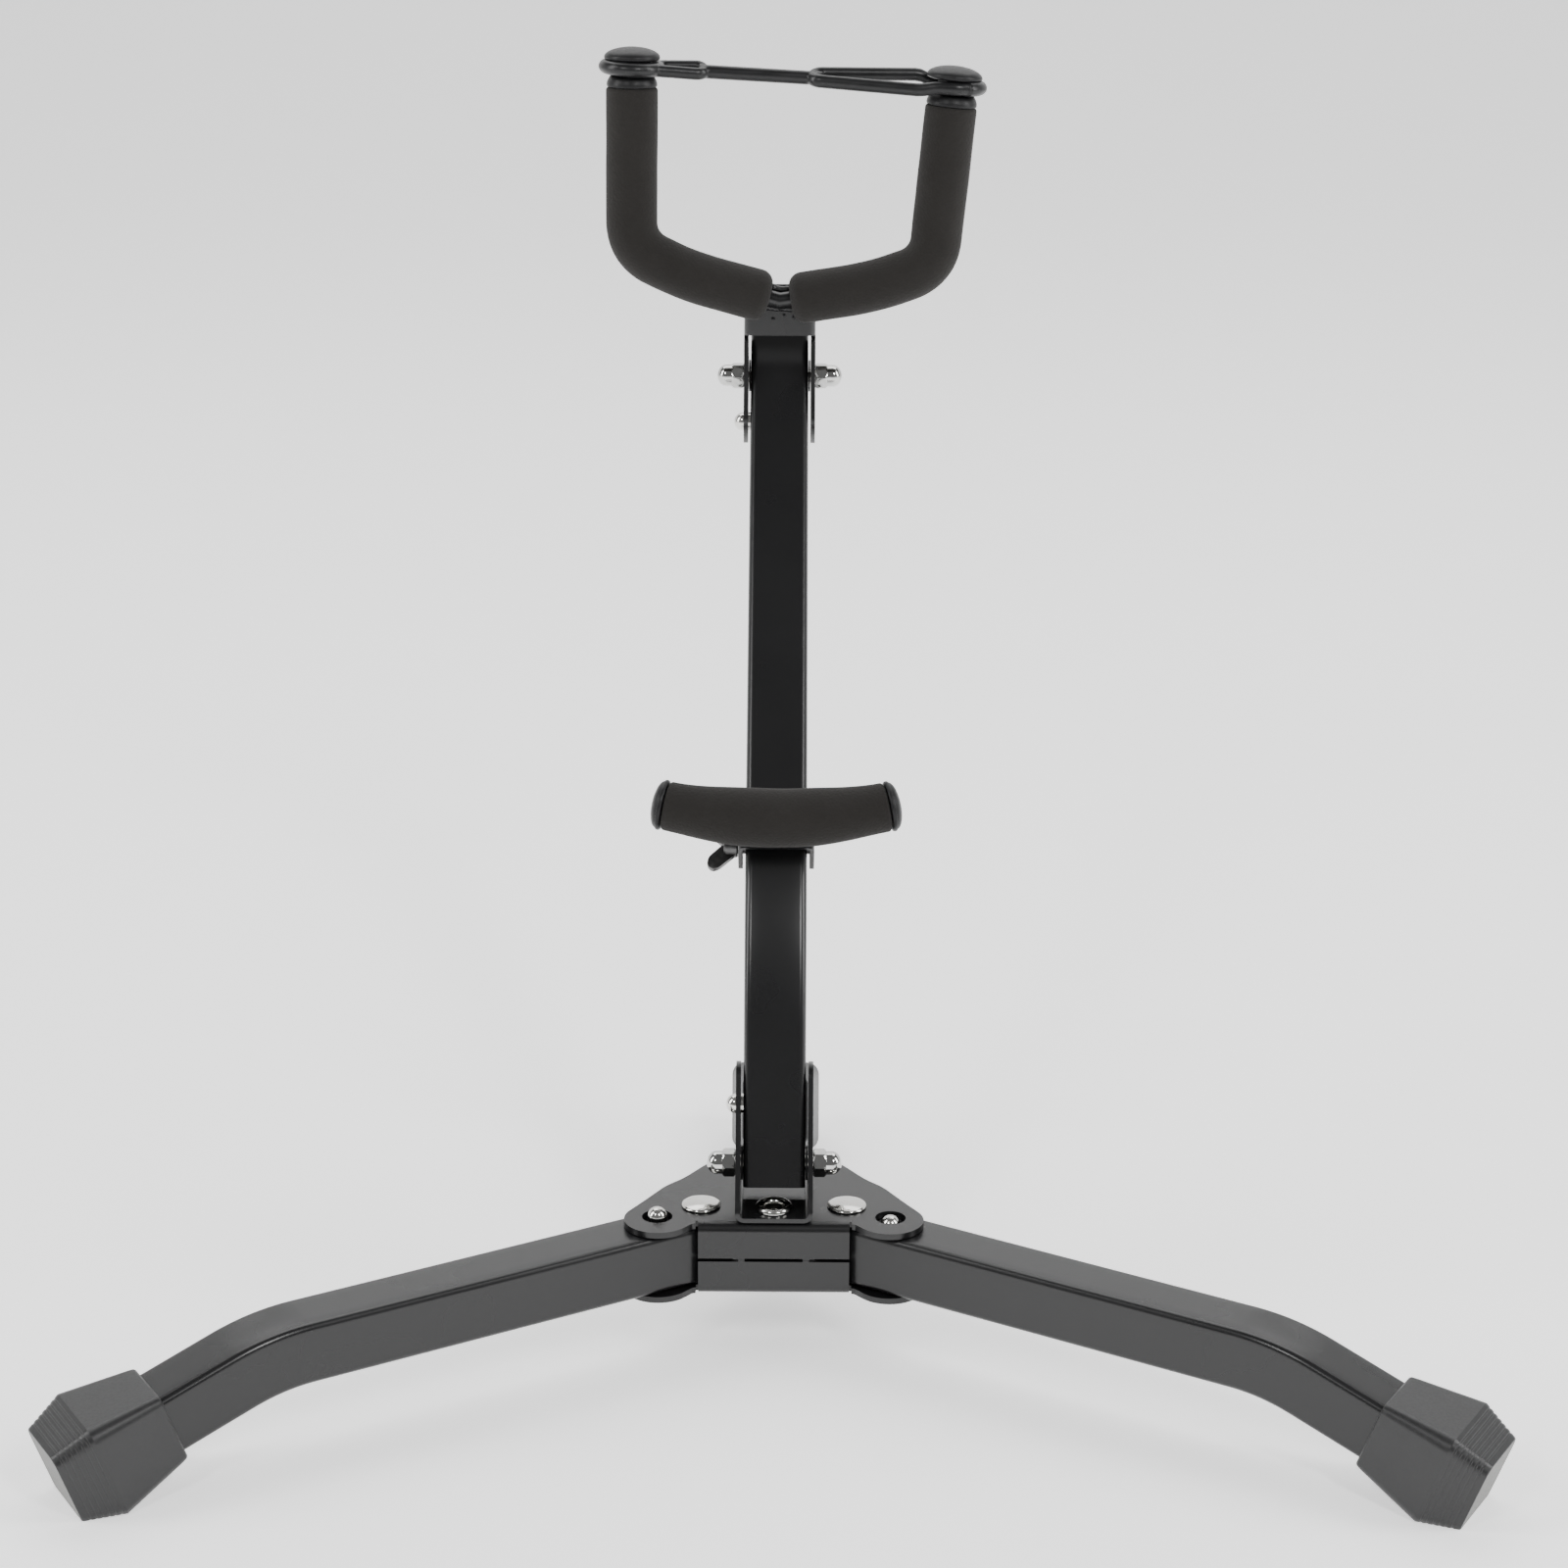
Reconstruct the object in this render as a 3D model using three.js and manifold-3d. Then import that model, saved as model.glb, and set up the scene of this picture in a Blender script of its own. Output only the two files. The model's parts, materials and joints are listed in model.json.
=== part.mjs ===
// A folding saxophone stand: two hinged front legs and a fixed rear leg in a pressed hub, a bent post that
// leans back over the rear leg, a padded cradle bar on the post and a padded yoke with a rubber strap on top.
// Millimetres, +Z up, the player's side towards -Y. The floor box is centred on the origin.
import * as THREE from "three";
import { mergeVertices } from "three/addons/utils/BufferGeometryUtils.js";
import Module from "manifold-3d";

// Square tube, used for the legs and the post
const TUBE = 20;
const TUBE_WALL = 1.5;
const TUBE_CORNER = 2.2;

// Hub: two pressed plates around the legs
const PLATE = 2;
const LEG_AXIS_Z = 33.5;
const PLATE_GAP = 0.3;
const FLANGE_HALF = 24.2;
const PIVOT_X = 23.5;
const PIVOT_Y = 14.6;
const EYELET_Y = 9;
const REAR_RIVET_Y = 44;
const HOLE = { pivot: 3.3, rear: 2.3, lock: 4.9 };
const LOBE = { x: 37, y: 5, r: 11 };

// Legs
const LEG_SWEEP = 31;
const LEG_INNER = 6;
const FRONT_LEG_STRAIGHT = 139;
const REAR_LEG_STRAIGHT = 91.6;
const LEG_BEND_R = 70;
const LEG_BEND = 19;
const LEG_TAIL = 49.5;
const FOOT = { length: 35.5, mouth: 24, widest: 32, widestAt: 23, end: 25, socket: 26 };
const LOCK_FROM_PIVOT = 16.2;

// Post
const HINGE = { y: 20, z: 58.6 };
const POST_LEAN = 18;
const POST_LEAN_TOP = 44;
const POST_LOWER = 74.5;
const POST_UPPER = 213;
const POST_BEND_R = 150;
const POST_BELOW = 7;
const POST_ABOVE = 12.2;
const LOCK_FROM_HINGE = 19;

// Folded sheet brackets that straddle the post
const SHEET = 1.5;
const BRACKET_HALF = 12.4;
const BRACKET_CORNER = 3;

// Hinge hardware
const STUD_R = 2.45;
const NUT = { flats: 8, hex: 4.2, dome: 5.2, crown: 3.2, domeR: 3.8 };
const WASHER = { r: 5.6, hole: 2.7, thick: 0.6 };
const BUTTON = { r: 3.2, proud: 3.2, collar: 4.5, hole: 3.5 };
const SPRING = { width: 8, thick: 0.6, length: 34 };

// Cradle
const CRADLE_AT = 105;
const CRADLE_FORWARD = 23.8;
const CRADLE_HALF = 39.5;
const CRADLE_RISE = 5.2;
const CRADLE_BRACKET_HALF = 6.2;

// Yoke
const ROD_R = 3;
const YOKE_RISE = 29.5;
const YOKE_FORWARD = 10;
const YOKE_PLATE = { low: 19.5, high: 34 };
const YOKE_ROLL = 3;
const FOAM_R = 8.8;
const YOKE_ROUTE = [[0, -0.6], [31, 5.9], [51.8, 14.5], [54.6, 82]];
const YOKE_CORNERS = [0, 16, 13, 0];
const FOAM_FROM = 3.7;
const FOAM_TOP = 69;
const CAP = { collarR: 8.6, neckR: 5.4, domeR: 9.5, collar: 4, neck: 4.9, dome: 4.4 };
const STRAP = { thick: 4, cord: 2.1, ring: 11.3, tab: 25.5, loop: 8 };

const RAD = Math.PI / 180;
const v2 = (x, y) => new THREE.Vector2(x, y);
const v3 = (x, y, z) => new THREE.Vector3(x, y, z);

// ---- materials --------------------------------------------------------------------------------------
const paint = () => new THREE.MeshStandardMaterial({ color: 0x1b1b1c, roughness: 0.34, metalness: 0.1 });
const rubber = () => new THREE.MeshStandardMaterial({ color: 0x2c2c2d, roughness: 0.62, metalness: 0 });
const foam = () => new THREE.MeshStandardMaterial({ color: 0x242322, roughness: 0.95, metalness: 0 });
const zinc = () => new THREE.MeshStandardMaterial({ color: 0xd8d8d6, roughness: 0.2, metalness: 1 });
const nylon = () => new THREE.MeshStandardMaterial({ color: 0x1e1e1f, roughness: 0.5, metalness: 0 });
const springSteel = () => new THREE.MeshStandardMaterial({ color: 0x6d6a66, roughness: 0.4, metalness: 1 });

// ---- solids: joining and cutting --------------------------------------------------------------------
const wasm = await Module();
wasm.setup();

function toSolid(geometry) {
  const bare = geometry.index ? geometry.toNonIndexed() : geometry.clone();
  bare.deleteAttribute("normal");
  bare.deleteAttribute("uv");
  const merged = mergeVertices(bare, 1e-4);
  return new wasm.Manifold(
    new wasm.Mesh({
      numProp: 3,
      vertProperties: merged.attributes.position.array,
      triVerts: new Uint32Array(merged.index.array),
    }),
  );
}

function toGeometry(solid) {
  const { vertProperties, triVerts } = solid.getMesh();
  return new THREE.BufferGeometry()
    .setAttribute("position", new THREE.BufferAttribute(vertProperties, 3))
    .setIndex(new THREE.BufferAttribute(triVerts, 1));
}

const join = (...parts) => toGeometry(parts.map(toSolid).reduce((a, b) => a.add(b)));
const cut = (body, ...tools) => toGeometry(tools.map(toSolid).reduce((a, b) => a.subtract(b), toSolid(body)));
const common = (a, b) => toGeometry(toSolid(a).intersect(toSolid(b)));

// ---- shapes -----------------------------------------------------------------------------------------
function box(x0, x1, y0, y1, z0, z1) {
  const block = new THREE.BoxGeometry(x1 - x0, y1 - y0, z1 - z0);
  return block.translate((x0 + x1) / 2, (y0 + y1) / 2, (z0 + z1) / 2);
}

// A round bar between two X positions, on an axis parallel to X
function barX(r, x0, x1, y, z, sides = 16) {
  const bar = new THREE.CylinderGeometry(r, r, x1 - x0, sides);
  return bar.rotateZ(Math.PI / 2).translate((x0 + x1) / 2, y, z);
}

function barZ(r, z0, z1, x, y, sides = 16) {
  const bar = new THREE.CylinderGeometry(r, r, z1 - z0, sides);
  return bar.rotateX(Math.PI / 2).translate(x, y, (z0 + z1) / 2);
}

function barY(r, y0, y1, x, z, sides = 20) {
  return new THREE.CylinderGeometry(r, r, y1 - y0, sides).translate(x, (y0 + y1) / 2, z);
}

function roundedSquare(size, r, steps = 2) {
  const h = size / 2 - r;
  const shape = new THREE.Shape();
  [[h, h, 0], [-h, h, 90], [-h, -h, 180], [h, -h, 270]].forEach(([x, y, a]) => {
    for (let i = 0; i <= steps; i++) {
      const t = (a + (90 * i) / steps) * RAD;
      const [px, py] = [x + r * Math.cos(t), y + r * Math.sin(t)];
      if (shape.curves.length || shape.currentPoint.lengthSq()) shape.lineTo(px, py);
      else shape.moveTo(px, py);
    }
  });
  shape.closePath();
  return shape;
}

// A path that puts one section at each of its points, so straight runs cost no extra faces
class Route extends THREE.Curve {
  constructor(points) {
    super();
    this.points = points;
  }
  getPoint(t) {
    const at = t * (this.points.length - 1);
    const i = Math.min(Math.floor(at), this.points.length - 2);
    return this.points[i].clone().lerp(this.points[i + 1], at - i);
  }
  getPointAt(u) {
    return this.getPoint(u);
  }
  getTangentAt(u) {
    const i = Math.round(u * (this.points.length - 1));
    const p = this.points;
    const back = p[i].clone().sub(p[Math.max(i - 1, 0)]).normalize();
    const ahead = p[Math.min(i + 1, p.length - 1)].clone().sub(p[i]).normalize();
    return back.add(ahead).normalize();
  }
}

function sweep(shape, points) {
  return new THREE.ExtrudeGeometry(shape, { steps: points.length - 1, extrudePath: new Route(points) });
}

// Points of a flat path through corners, each rounded with its own radius
function rounded(corners, radii, steps = 5) {
  const out = [];
  corners.forEach((c, i) => {
    if (!radii[i]) {
      out.push(c.clone());
      return;
    }
    const a = corners[i - 1].clone().sub(c).normalize();
    const b = corners[i + 1].clone().sub(c).normalize();
    const half = Math.acos(a.dot(b)) / 2;
    const start = c.clone().addScaledVector(a, radii[i] / Math.tan(half));
    const end = c.clone().addScaledVector(b, radii[i] / Math.tan(half));
    const centre = c.clone().addScaledVector(a.clone().add(b).normalize(), radii[i] / Math.sin(half));
    for (let k = 0; k <= steps; k++) {
      const p = start.clone().lerp(end, k / steps).sub(centre).setLength(radii[i]);
      out.push(p.add(centre));
    }
  });
  return out;
}

function squareTube(points) {
  const section = roundedSquare(TUBE, TUBE_CORNER);
  section.holes.push(roundedSquare(TUBE - 2 * TUBE_WALL, TUBE_CORNER - TUBE_WALL, 1));
  return sweep(section, points);
}

function disc(r, sides) {
  const shape = new THREE.Shape();
  for (let i = 0; i < sides; i++) {
    const a = (2 * Math.PI * i) / sides;
    if (i) shape.lineTo(r * Math.cos(a), r * Math.sin(a));
    else shape.moveTo(r, 0);
  }
  return shape;
}

const roundBar = (r, points, sides = 10) => sweep(disc(r, sides), points);

function sleeve(outer, inner, points, sides = 14) {
  const shape = disc(outer, sides);
  shape.holes.push(disc(inner, 8));
  return sweep(shape, points);
}

function polygon(points) {
  return new THREE.Shape(points.map(([x, y]) => v2(x, y)));
}

// A side outline given in Y and Z, extruded across X
function across(points, half) {
  return new THREE.ExtrudeGeometry(polygon(points), { depth: 2 * half, bevelEnabled: false })
    .rotateY(Math.PI / 2)
    .rotateX(Math.PI / 2)
    .translate(-half, 0, 0);
}

// A folded sheet channel: web and two sides, open at the back, bent along the length
function channel(half, depth, length) {
  const outer = polygonWithCorners(half, depth, BRACKET_CORNER);
  const inner = polygonWithCorners(half - SHEET, depth, BRACKET_CORNER - SHEET, SHEET);
  const shape = polygon([...outer, ...inner.reverse()]);
  return new THREE.ExtrudeGeometry(shape, { depth: length, bevelEnabled: false });
}

function polygonWithCorners(half, depth, r, from = 0) {
  const points = [[-half, depth]];
  for (let i = 0; i <= 3; i++) {
    const t = (180 + 30 * i) * RAD;
    points.push([-half + r + r * Math.cos(t), from + r + r * Math.sin(t)]);
  }
  for (let i = 0; i <= 3; i++) {
    const t = (270 + 30 * i) * RAD;
    points.push([half - r + r * Math.cos(t), from + r + r * Math.sin(t)]);
  }
  points.push([half, depth]);
  return points;
}

function lathe(points, sides = 16) {
  return new THREE.LatheGeometry(points.map(([x, y]) => v2(x, y)), sides).rotateX(Math.PI / 2);
}

// ---- scene graph ------------------------------------------------------------------------------------
const stand = new THREE.Group();

function add(parent, name, geometry, material) {
  const mesh = new THREE.Mesh(geometry, material);
  mesh.name = name;
  parent.add(mesh);
  return mesh;
}

function group(parent, position, rotation = [0, 0, 0]) {
  const g = new THREE.Group();
  g.position.set(...position);
  g.rotation.set(...rotation);
  parent.add(g);
  return g;
}

// ---- hub --------------------------------------------------------------------------------------------
const TOP_Z = LEG_AXIS_Z + TUBE / 2 + PLATE_GAP;
const PLATE_TOP = TOP_Z + PLATE;
const BOTTOM_Z = LEG_AXIS_Z - TUBE / 2 - PLATE_GAP;
const legEnd = (side, s) => {
  const a = LEG_SWEEP * RAD;
  return [side * (PIVOT_X + s * Math.cos(a)), PIVOT_Y - s * Math.sin(a)];
};

// Right half of the plate outline, from the flange round the lock lobe to the back edge
function plateOutline() {
  const right = [[FLANGE_HALF, 0], [FLANGE_HALF + 3.5, 1]];
  for (let i = 0; i <= 8; i++) {
    const t = (-140 + 21.5 * i) * RAD;
    right.push([LOBE.x + LOBE.r * Math.cos(t), LOBE.y + LOBE.r * Math.sin(t)]);
  }
  right.push([40.9, 20], [35.4, 29.8], [30.1, 35.1], [23.6, 45.2], [18, 53], [12, 56]);
  return [...right, ...right.map(([x, y]) => [-x, y]).reverse()];
}

function hubPlate(z0, flangeZ0, flangeZ1) {
  const flat = new THREE.ExtrudeGeometry(polygon(plateOutline()), { depth: PLATE, bevelEnabled: false });
  const flange = box(-FLANGE_HALF, FLANGE_HALF, 0, PLATE, flangeZ0, flangeZ1);
  const holes = [[0, EYELET_Y, HOLE.pivot], [0, REAR_RIVET_Y, HOLE.rear]];
  [-1, 1].forEach((side) => {
    holes.push([side * PIVOT_X, PIVOT_Y, HOLE.pivot]);
    holes.push([...legEnd(side, LOCK_FROM_PIVOT), HOLE.lock]);
  });
  const drills = holes.map(([x, y, r]) => barZ(r, z0 - 1, z0 + PLATE + 1, x, y));
  return cut(join(flat.translate(0, 0, z0), flange), ...drills);
}

// A rivet through the hub: domed head above, flared tail below
function rivet(r, head, top, bottom, headHeight = 1.7) {
  const tail = [[0, bottom - 1.2], [r + 1.8, bottom - 1.2], [r + 1.8, bottom - 0.3], [r, bottom - 0.3]];
  const dome = [[1, 0.7], [0.8, headHeight * 0.85], [0.4, headHeight], [0, headHeight]];
  return lathe([...tail, [r, top + 0.2], [head, top + 0.2], ...dome.map(([f, z]) => [head * f, top + z])]);
}

// The hollow rivet in the middle, with a rolled rim above and a flared tail below
function eyelet(top, bottom) {
  const tail = [[0, bottom - 1.2], [4.8, bottom - 1.2], [4.8, bottom - 0.3], [3, bottom - 0.3]];
  const rim = [[3, 0.2], [6.1, 0.2], [6.1, 1], [5.2, 1.7], [3.6, 1.7], [3, 1], [2, -1.5], [0, -1.5]];
  return lathe([...tail, ...rim.map(([x, z]) => [x, top + z])]);
}

// A folded U: its web lies on the upper plate in front of the post's end, its two ears carry the hinge stud
function postBracket() {
  const web = [PLATE_TOP + 0.3, PLATE_TOP + 0.3 + SHEET];
  const lip = 1;
  const webEnd = 15.6;
  const earEnd = [34, 60];
  const [sin, cos] = [Math.sin(POST_LEAN * RAD), Math.cos(POST_LEAN * RAD)];
  const u = (s, w) => [HINGE.y + s * sin - w * cos, HINGE.z + s * cos + w * sin];
  const side = [[lip, web[0]], [lip, web[0] + 4], u(28, 9.6), u(31.6, 7.6), u(33, 3), u(32.6, -4), u(30, -8.6),
    u(16, -9), earEnd, [earEnd[0], web[0]]];
  const length = earEnd[1];
  const section = channel(BRACKET_HALF, length, length).rotateX(Math.PI / 2).translate(0, length, web[0]);
  const opening = box(SHEET - BRACKET_HALF, BRACKET_HALF - SHEET, webEnd, length, web[0] - 1, web[1] + 1);
  return cut(
    common(section, across(side, 20)),
    opening,
    barX(STUD_R + 0.15, -20, 20, HINGE.y, HINGE.z),
    barX(BUTTON.hole, -20, 0, ...u(LOCK_FROM_HINGE, 0)),
    barZ(HOLE.pivot, web[0] - 1, web[1] + 1, 0, EYELET_Y),
  );
}

// ---- hinge hardware on an axis along X through the origin -------------------------------------------
function acornNut(side) {
  const start = BRACKET_HALF + 0.15;
  const corner = NUT.flats / Math.sqrt(3);
  const hex = new THREE.CylinderGeometry(corner, corner, NUT.hex, 6)
    .rotateZ(Math.PI / 2)
    .translate(start + NUT.hex / 2, 0, 0);
  const straight = NUT.dome - NUT.crown;
  const profile = [[0, 0], [NUT.domeR, 0], [NUT.domeR, straight]];
  for (let i = 1; i <= 5; i++) {
    const t = 18 * i * RAD;
    profile.push([i < 5 ? NUT.domeR * Math.cos(t) : 0, straight + NUT.crown * Math.sin(t)]);
  }
  const dome = new THREE.LatheGeometry(profile.map(([x, y]) => v2(x, y)), 14)
    .rotateZ(-Math.PI / 2)
    .translate(start + NUT.hex - 0.2, 0, 0);
  const bore = barX(STUD_R + 0.12, start - 1, start + 6, 0, 0);
  const nut = cut(join(hex, dome), bore);
  return side > 0 ? nut : nut.rotateY(Math.PI);
}

const STUD_HALF = BRACKET_HALF + 5.5;
const stud = () => barX(STUD_R, -STUD_HALF, STUD_HALF, 0, 0);

function washer(side) {
  const x0 = TUBE / 2 + 0.14;
  const ring = cut(barX(WASHER.r, x0, x0 + WASHER.thick, 0, 0), barX(WASHER.hole, x0 - 1, x0 + 2, 0, 0));
  return side > 0 ? ring : ring.rotateY(Math.PI);
}

// A sprung lock button pointing along +Z; its collar bears on the inside of the tube wall at z = 0
function button(reach) {
  const collar = [[0, -1.4], [BUTTON.collar, -1.4], [BUTTON.collar, -0.3]];
  const profile = [...collar, [BUTTON.r, -0.3], [BUTTON.r, reach]];
  for (let i = 1; i <= 4; i++) {
    const t = 22.5 * i * RAD;
    profile.push([i < 4 ? BUTTON.r * Math.cos(t) : 0, reach + BUTTON.proud * Math.sin(t)]);
  }
  return lathe(profile, 14);
}

// A V of spring steel lying in the tube: apex at +X, its upper arm under the button at the origin
function leafSpring() {
  const floor = -(TUBE - 2 * TUBE_WALL) + 0.3;
  const { length, thick, width } = SPRING;
  const mid = floor / 2;
  const [end, bend, top] = [-5, 6, -1.7];
  const outside = [[end, top], [bend, top], [length - 2, mid + 1.5], [length, mid], [length - 2, mid - 1.5],
    [bend, floor], [end, floor]];
  const inside = [[end, floor + thick], [bend, floor + thick], [length - 2.6, mid - 0.9], [length - 1.2, mid],
    [length - 2.6, mid + 0.9], [bend, top - thick], [end, top - thick]];
  const outline = [...outside, ...inside];
  return new THREE.ExtrudeGeometry(polygon(outline), { depth: width, bevelEnabled: false })
    .rotateX(Math.PI / 2)
    .translate(0, width / 2, 0);
}

// ---- legs: local +X runs outwards along the leg, the origin is on the leg's rivet 
function legPoints(straight) {
  const points = [v3(-LEG_INNER, 0, 0), v3(straight, 0, 0)];
  const steps = 6;
  for (let i = 1; i <= steps; i++) {
    const t = (LEG_BEND * i * RAD) / steps;
    points.push(v3(straight + LEG_BEND_R * Math.sin(t), 0, -LEG_BEND_R * (1 - Math.cos(t))));
  }
  const last = points[points.length - 1];
  const a = LEG_BEND * RAD;
  points.push(v3(last.x + LEG_TAIL * Math.cos(a), 0, last.z - LEG_TAIL * Math.sin(a)));
  return points;
}

function legTube(straight) {
  const inner = TUBE / 2 - TUBE_WALL - 1;
  return cut(
    squareTube(legPoints(straight)),
    barZ(HOLE.pivot, -11, 11, 0, 0),
    barZ(BUTTON.hole, inner, 11, LOCK_FROM_PIVOT, 0),
  );
}

// Frame at the foot's mouth, on the sloping end of the leg
function footFrame(parent, straight) {
  const p = legPoints(straight);
  const end = p[p.length - 1];
  const a = LEG_BEND * RAD;
  const back = FOOT.socket - 1;
  return group(parent, [end.x - back * Math.cos(a), 0, end.z + back * Math.sin(a)], [0, a, 0]);
}

// A moulded rubber boot: square sections that swell and then taper, a blind square socket and a flat sole
function footSolid(frame) {
  const rings = [[0, FOOT.mouth, 2.5], [FOOT.widestAt, FOOT.widest, 4], [FOOT.length, FOOT.end, 3.2]];
  const body = rings.slice(1).map(([x1, s1, r1], i) => loft(rings[i], [x1, s1, r1]));
  frame.updateWorldMatrix(true, false);
  const floor = box(-500, 500, -500, 500, -100, 0).applyMatrix4(frame.matrixWorld.clone().invert());
  const hole = TUBE / 2 + 0.4;
  return cut(join(...body), box(-1, FOOT.socket, -hole, hole, -hole, hole), floor);
}

// A solid between two rounded squares at two X positions
function loft([x0, s0, r0], [x1, s1, r1]) {
  const ends = [[x0, s0, r0], [x1, s1, r1]].map(([x, s, r]) =>
    roundedSquare(s, r).getPoints().slice(0, 12).map((p) => [x, p.x, p.y]));
  const n = ends[0].length;
  const position = [...ends[0], ...ends[1], [x0, 0, 0], [x1, 0, 0]].flat();
  const index = [];
  for (let i = 0; i < n; i++) {
    const j = (i + 1) % n;
    index.push(i, j, n + j, i, n + j, n + i, 2 * n, j, i, 2 * n + 1, n + i, n + j);
  }
  return new THREE.BufferGeometry()
    .setAttribute("position", new THREE.Float32BufferAttribute(position, 3))
    .setIndex(index);
}

function frontLeg(name, side) {
  const heading = side > 0 ? -LEG_SWEEP * RAD : Math.PI + LEG_SWEEP * RAD;
  const leg = group(stand, [side * PIVOT_X, PIVOT_Y, LEG_AXIS_Z], [0, 0, heading]);
  add(leg, name + "_leg_tube", legTube(FRONT_LEG_STRAIGHT), paint());
  const frame = footFrame(leg, FRONT_LEG_STRAIGHT);
  add(frame, name + "_foot", footSolid(frame), rubber());
  const lock = group(leg, [LOCK_FROM_PIVOT, 0, TUBE / 2 - TUBE_WALL]);
  add(lock, name + "_leg_lock_button", button(TUBE_WALL + PLATE_GAP + PLATE), zinc());
  add(lock, name + "_leg_lock_spring", leafSpring(), springSteel());
}

function rearLeg() {
  const leg = group(stand, [0, EYELET_Y, LEG_AXIS_Z], [0, 0, Math.PI / 2]);
  const tube = cut(
    squareTube(legPoints(REAR_LEG_STRAIGHT)),
    barZ(HOLE.pivot, -11, 11, 0, 0),
    barZ(HOLE.rear, -11, 11, REAR_RIVET_Y - EYELET_Y, 0),
  );
  add(leg, "rear_leg_tube", tube, paint());
  const frame = footFrame(leg, REAR_LEG_STRAIGHT);
  add(frame, "rear_foot", footSolid(frame), rubber());
}

function hub() {
  const seam = LEG_AXIS_Z;
  add(stand, "hub_top_plate", hubPlate(TOP_Z, seam + 0.5, TOP_Z + 1), paint());
  add(stand, "hub_bottom_plate", hubPlate(BOTTOM_Z - PLATE, BOTTOM_Z - 1, seam - 0.5), paint());
  add(stand, "post_bracket", postBracket(), paint());
  const bracketTop = PLATE_TOP + 0.3 + SHEET;
  add(group(stand, [0, EYELET_Y, 0]), "centre_eyelet", eyelet(bracketTop, BOTTOM_Z - PLATE), zinc());
  const rearRivet = rivet(2, 3.6, PLATE_TOP, BOTTOM_Z - PLATE, 1);
  add(group(stand, [0, REAR_RIVET_Y, 0]), "rear_leg_rivet", rearRivet, zinc());
  [["left", -1], ["right", 1]].forEach(([name, side]) => {
    const at = group(stand, [side * PIVOT_X, PIVOT_Y, 0]);
    add(at, name + "_leg_pivot_rivet", rivet(3, 6.2, PLATE_TOP, BOTTOM_Z - PLATE, 2), zinc());
  });
}

// ---- post: a plane path in Y and Z ------------------------------------------------------------------
const direction = (lean) => v3(0, Math.sin(lean * RAD), Math.cos(lean * RAD));
const hinge = v3(0, HINGE.y, HINGE.z);
const knee = hinge.clone().addScaledVector(direction(POST_LEAN), POST_LOWER);
const top = knee.clone().addScaledVector(direction(POST_LEAN_TOP), POST_UPPER);

function postTube() {
  const foot = hinge.clone().addScaledVector(direction(POST_LEAN), -POST_BELOW);
  const head = top.clone().addScaledVector(direction(POST_LEAN_TOP), POST_ABOVE);
  const points = rounded([foot, knee, head], [0, POST_BEND_R, 0], 6);
  const lockLow = hinge.clone().addScaledVector(direction(POST_LEAN), LOCK_FROM_HINGE);
  const lockHigh = top.clone().addScaledVector(direction(POST_LEAN_TOP), -LOCK_FROM_HINGE);
  const cradle = hinge.clone().add(cradleOffset());
  return cut(
    squareTube(points),
    ...[hinge, top, cradle].map((p) => barX(STUD_R + 0.15, -11, 11, p.y, p.z)),
    ...[lockLow, lockHigh].map((p) => barX(BUTTON.hole, -11, -6, p.y, p.z)),
  );
}

// From the hinge to the point on the post's middle line where the cradle is pinned
function cradleOffset() {
  return direction(POST_LEAN).multiplyScalar(POST_LOWER)
    .addScaledVector(direction(POST_LEAN_TOP), CRADLE_AT - POST_LOWER);
}

function hingeHardware(name, at) {
  const g = group(stand, [0, at.y, at.z]);
  add(g, name + "_stud", stud(), zinc());
  [["left", -1], ["right", 1]].forEach(([side, sign]) => {
    add(g, `${name}_acorn_nut_${side}`, acornNut(sign), zinc());
    add(g, `${name}_washer_${side}`, washer(sign), nylon());
  });
}

// A lock button in the post's left wall, with its spring lying along the post
function postLock(name, at, lean, alongPost) {
  const wall = TUBE / 2 - TUBE_WALL;
  const g = group(stand, [-wall, at.y, at.z], [-lean * RAD, 0, 0]);
  const turned = group(g, [0, 0, 0], [0, -Math.PI / 2, 0]);
  add(turned, name + "_lock_button", button(TUBE_WALL + 1 + SHEET), zinc());
  const spring = alongPost > 0 ? leafSpring() : leafSpring().rotateZ(Math.PI);
  add(turned, name + "_lock_spring", spring, springSteel());
}

function post() {
  add(stand, "post_tube", postTube(), paint());
  hingeHardware("post_hinge", hinge);
  hingeHardware("yoke_hinge", top);
  const lockLow = hinge.clone().addScaledVector(direction(POST_LEAN), LOCK_FROM_HINGE);
  const lockHigh = top.clone().addScaledVector(direction(POST_LEAN_TOP), -LOCK_FROM_HINGE);
  postLock("post", lockLow, POST_LEAN, 1);
  postLock("yoke", lockHigh, POST_LEAN_TOP, -1);
}

// ---- cradle: local Z runs up the post, -Y points forwards, the origin is on the pin -----------
function cradleBracket() {
  const h = CRADLE_BRACKET_HALF;
  const front = BRACKET_HALF;
  const back = 8;
  const body = channel(BRACKET_HALF, front + back, 2 * h).translate(0, -front, -h);
  const side = [[-front - 1, -h], [-front - 1, h], [back - 4, h], [back - 1, h - 2], [back, 0], [back - 1, 2 - h],
    [back - 4, -h]];
  return cut(common(body, across(side, 20)), barX(STUD_R + 0.15, -20, 20, 0, 0));
}

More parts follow.
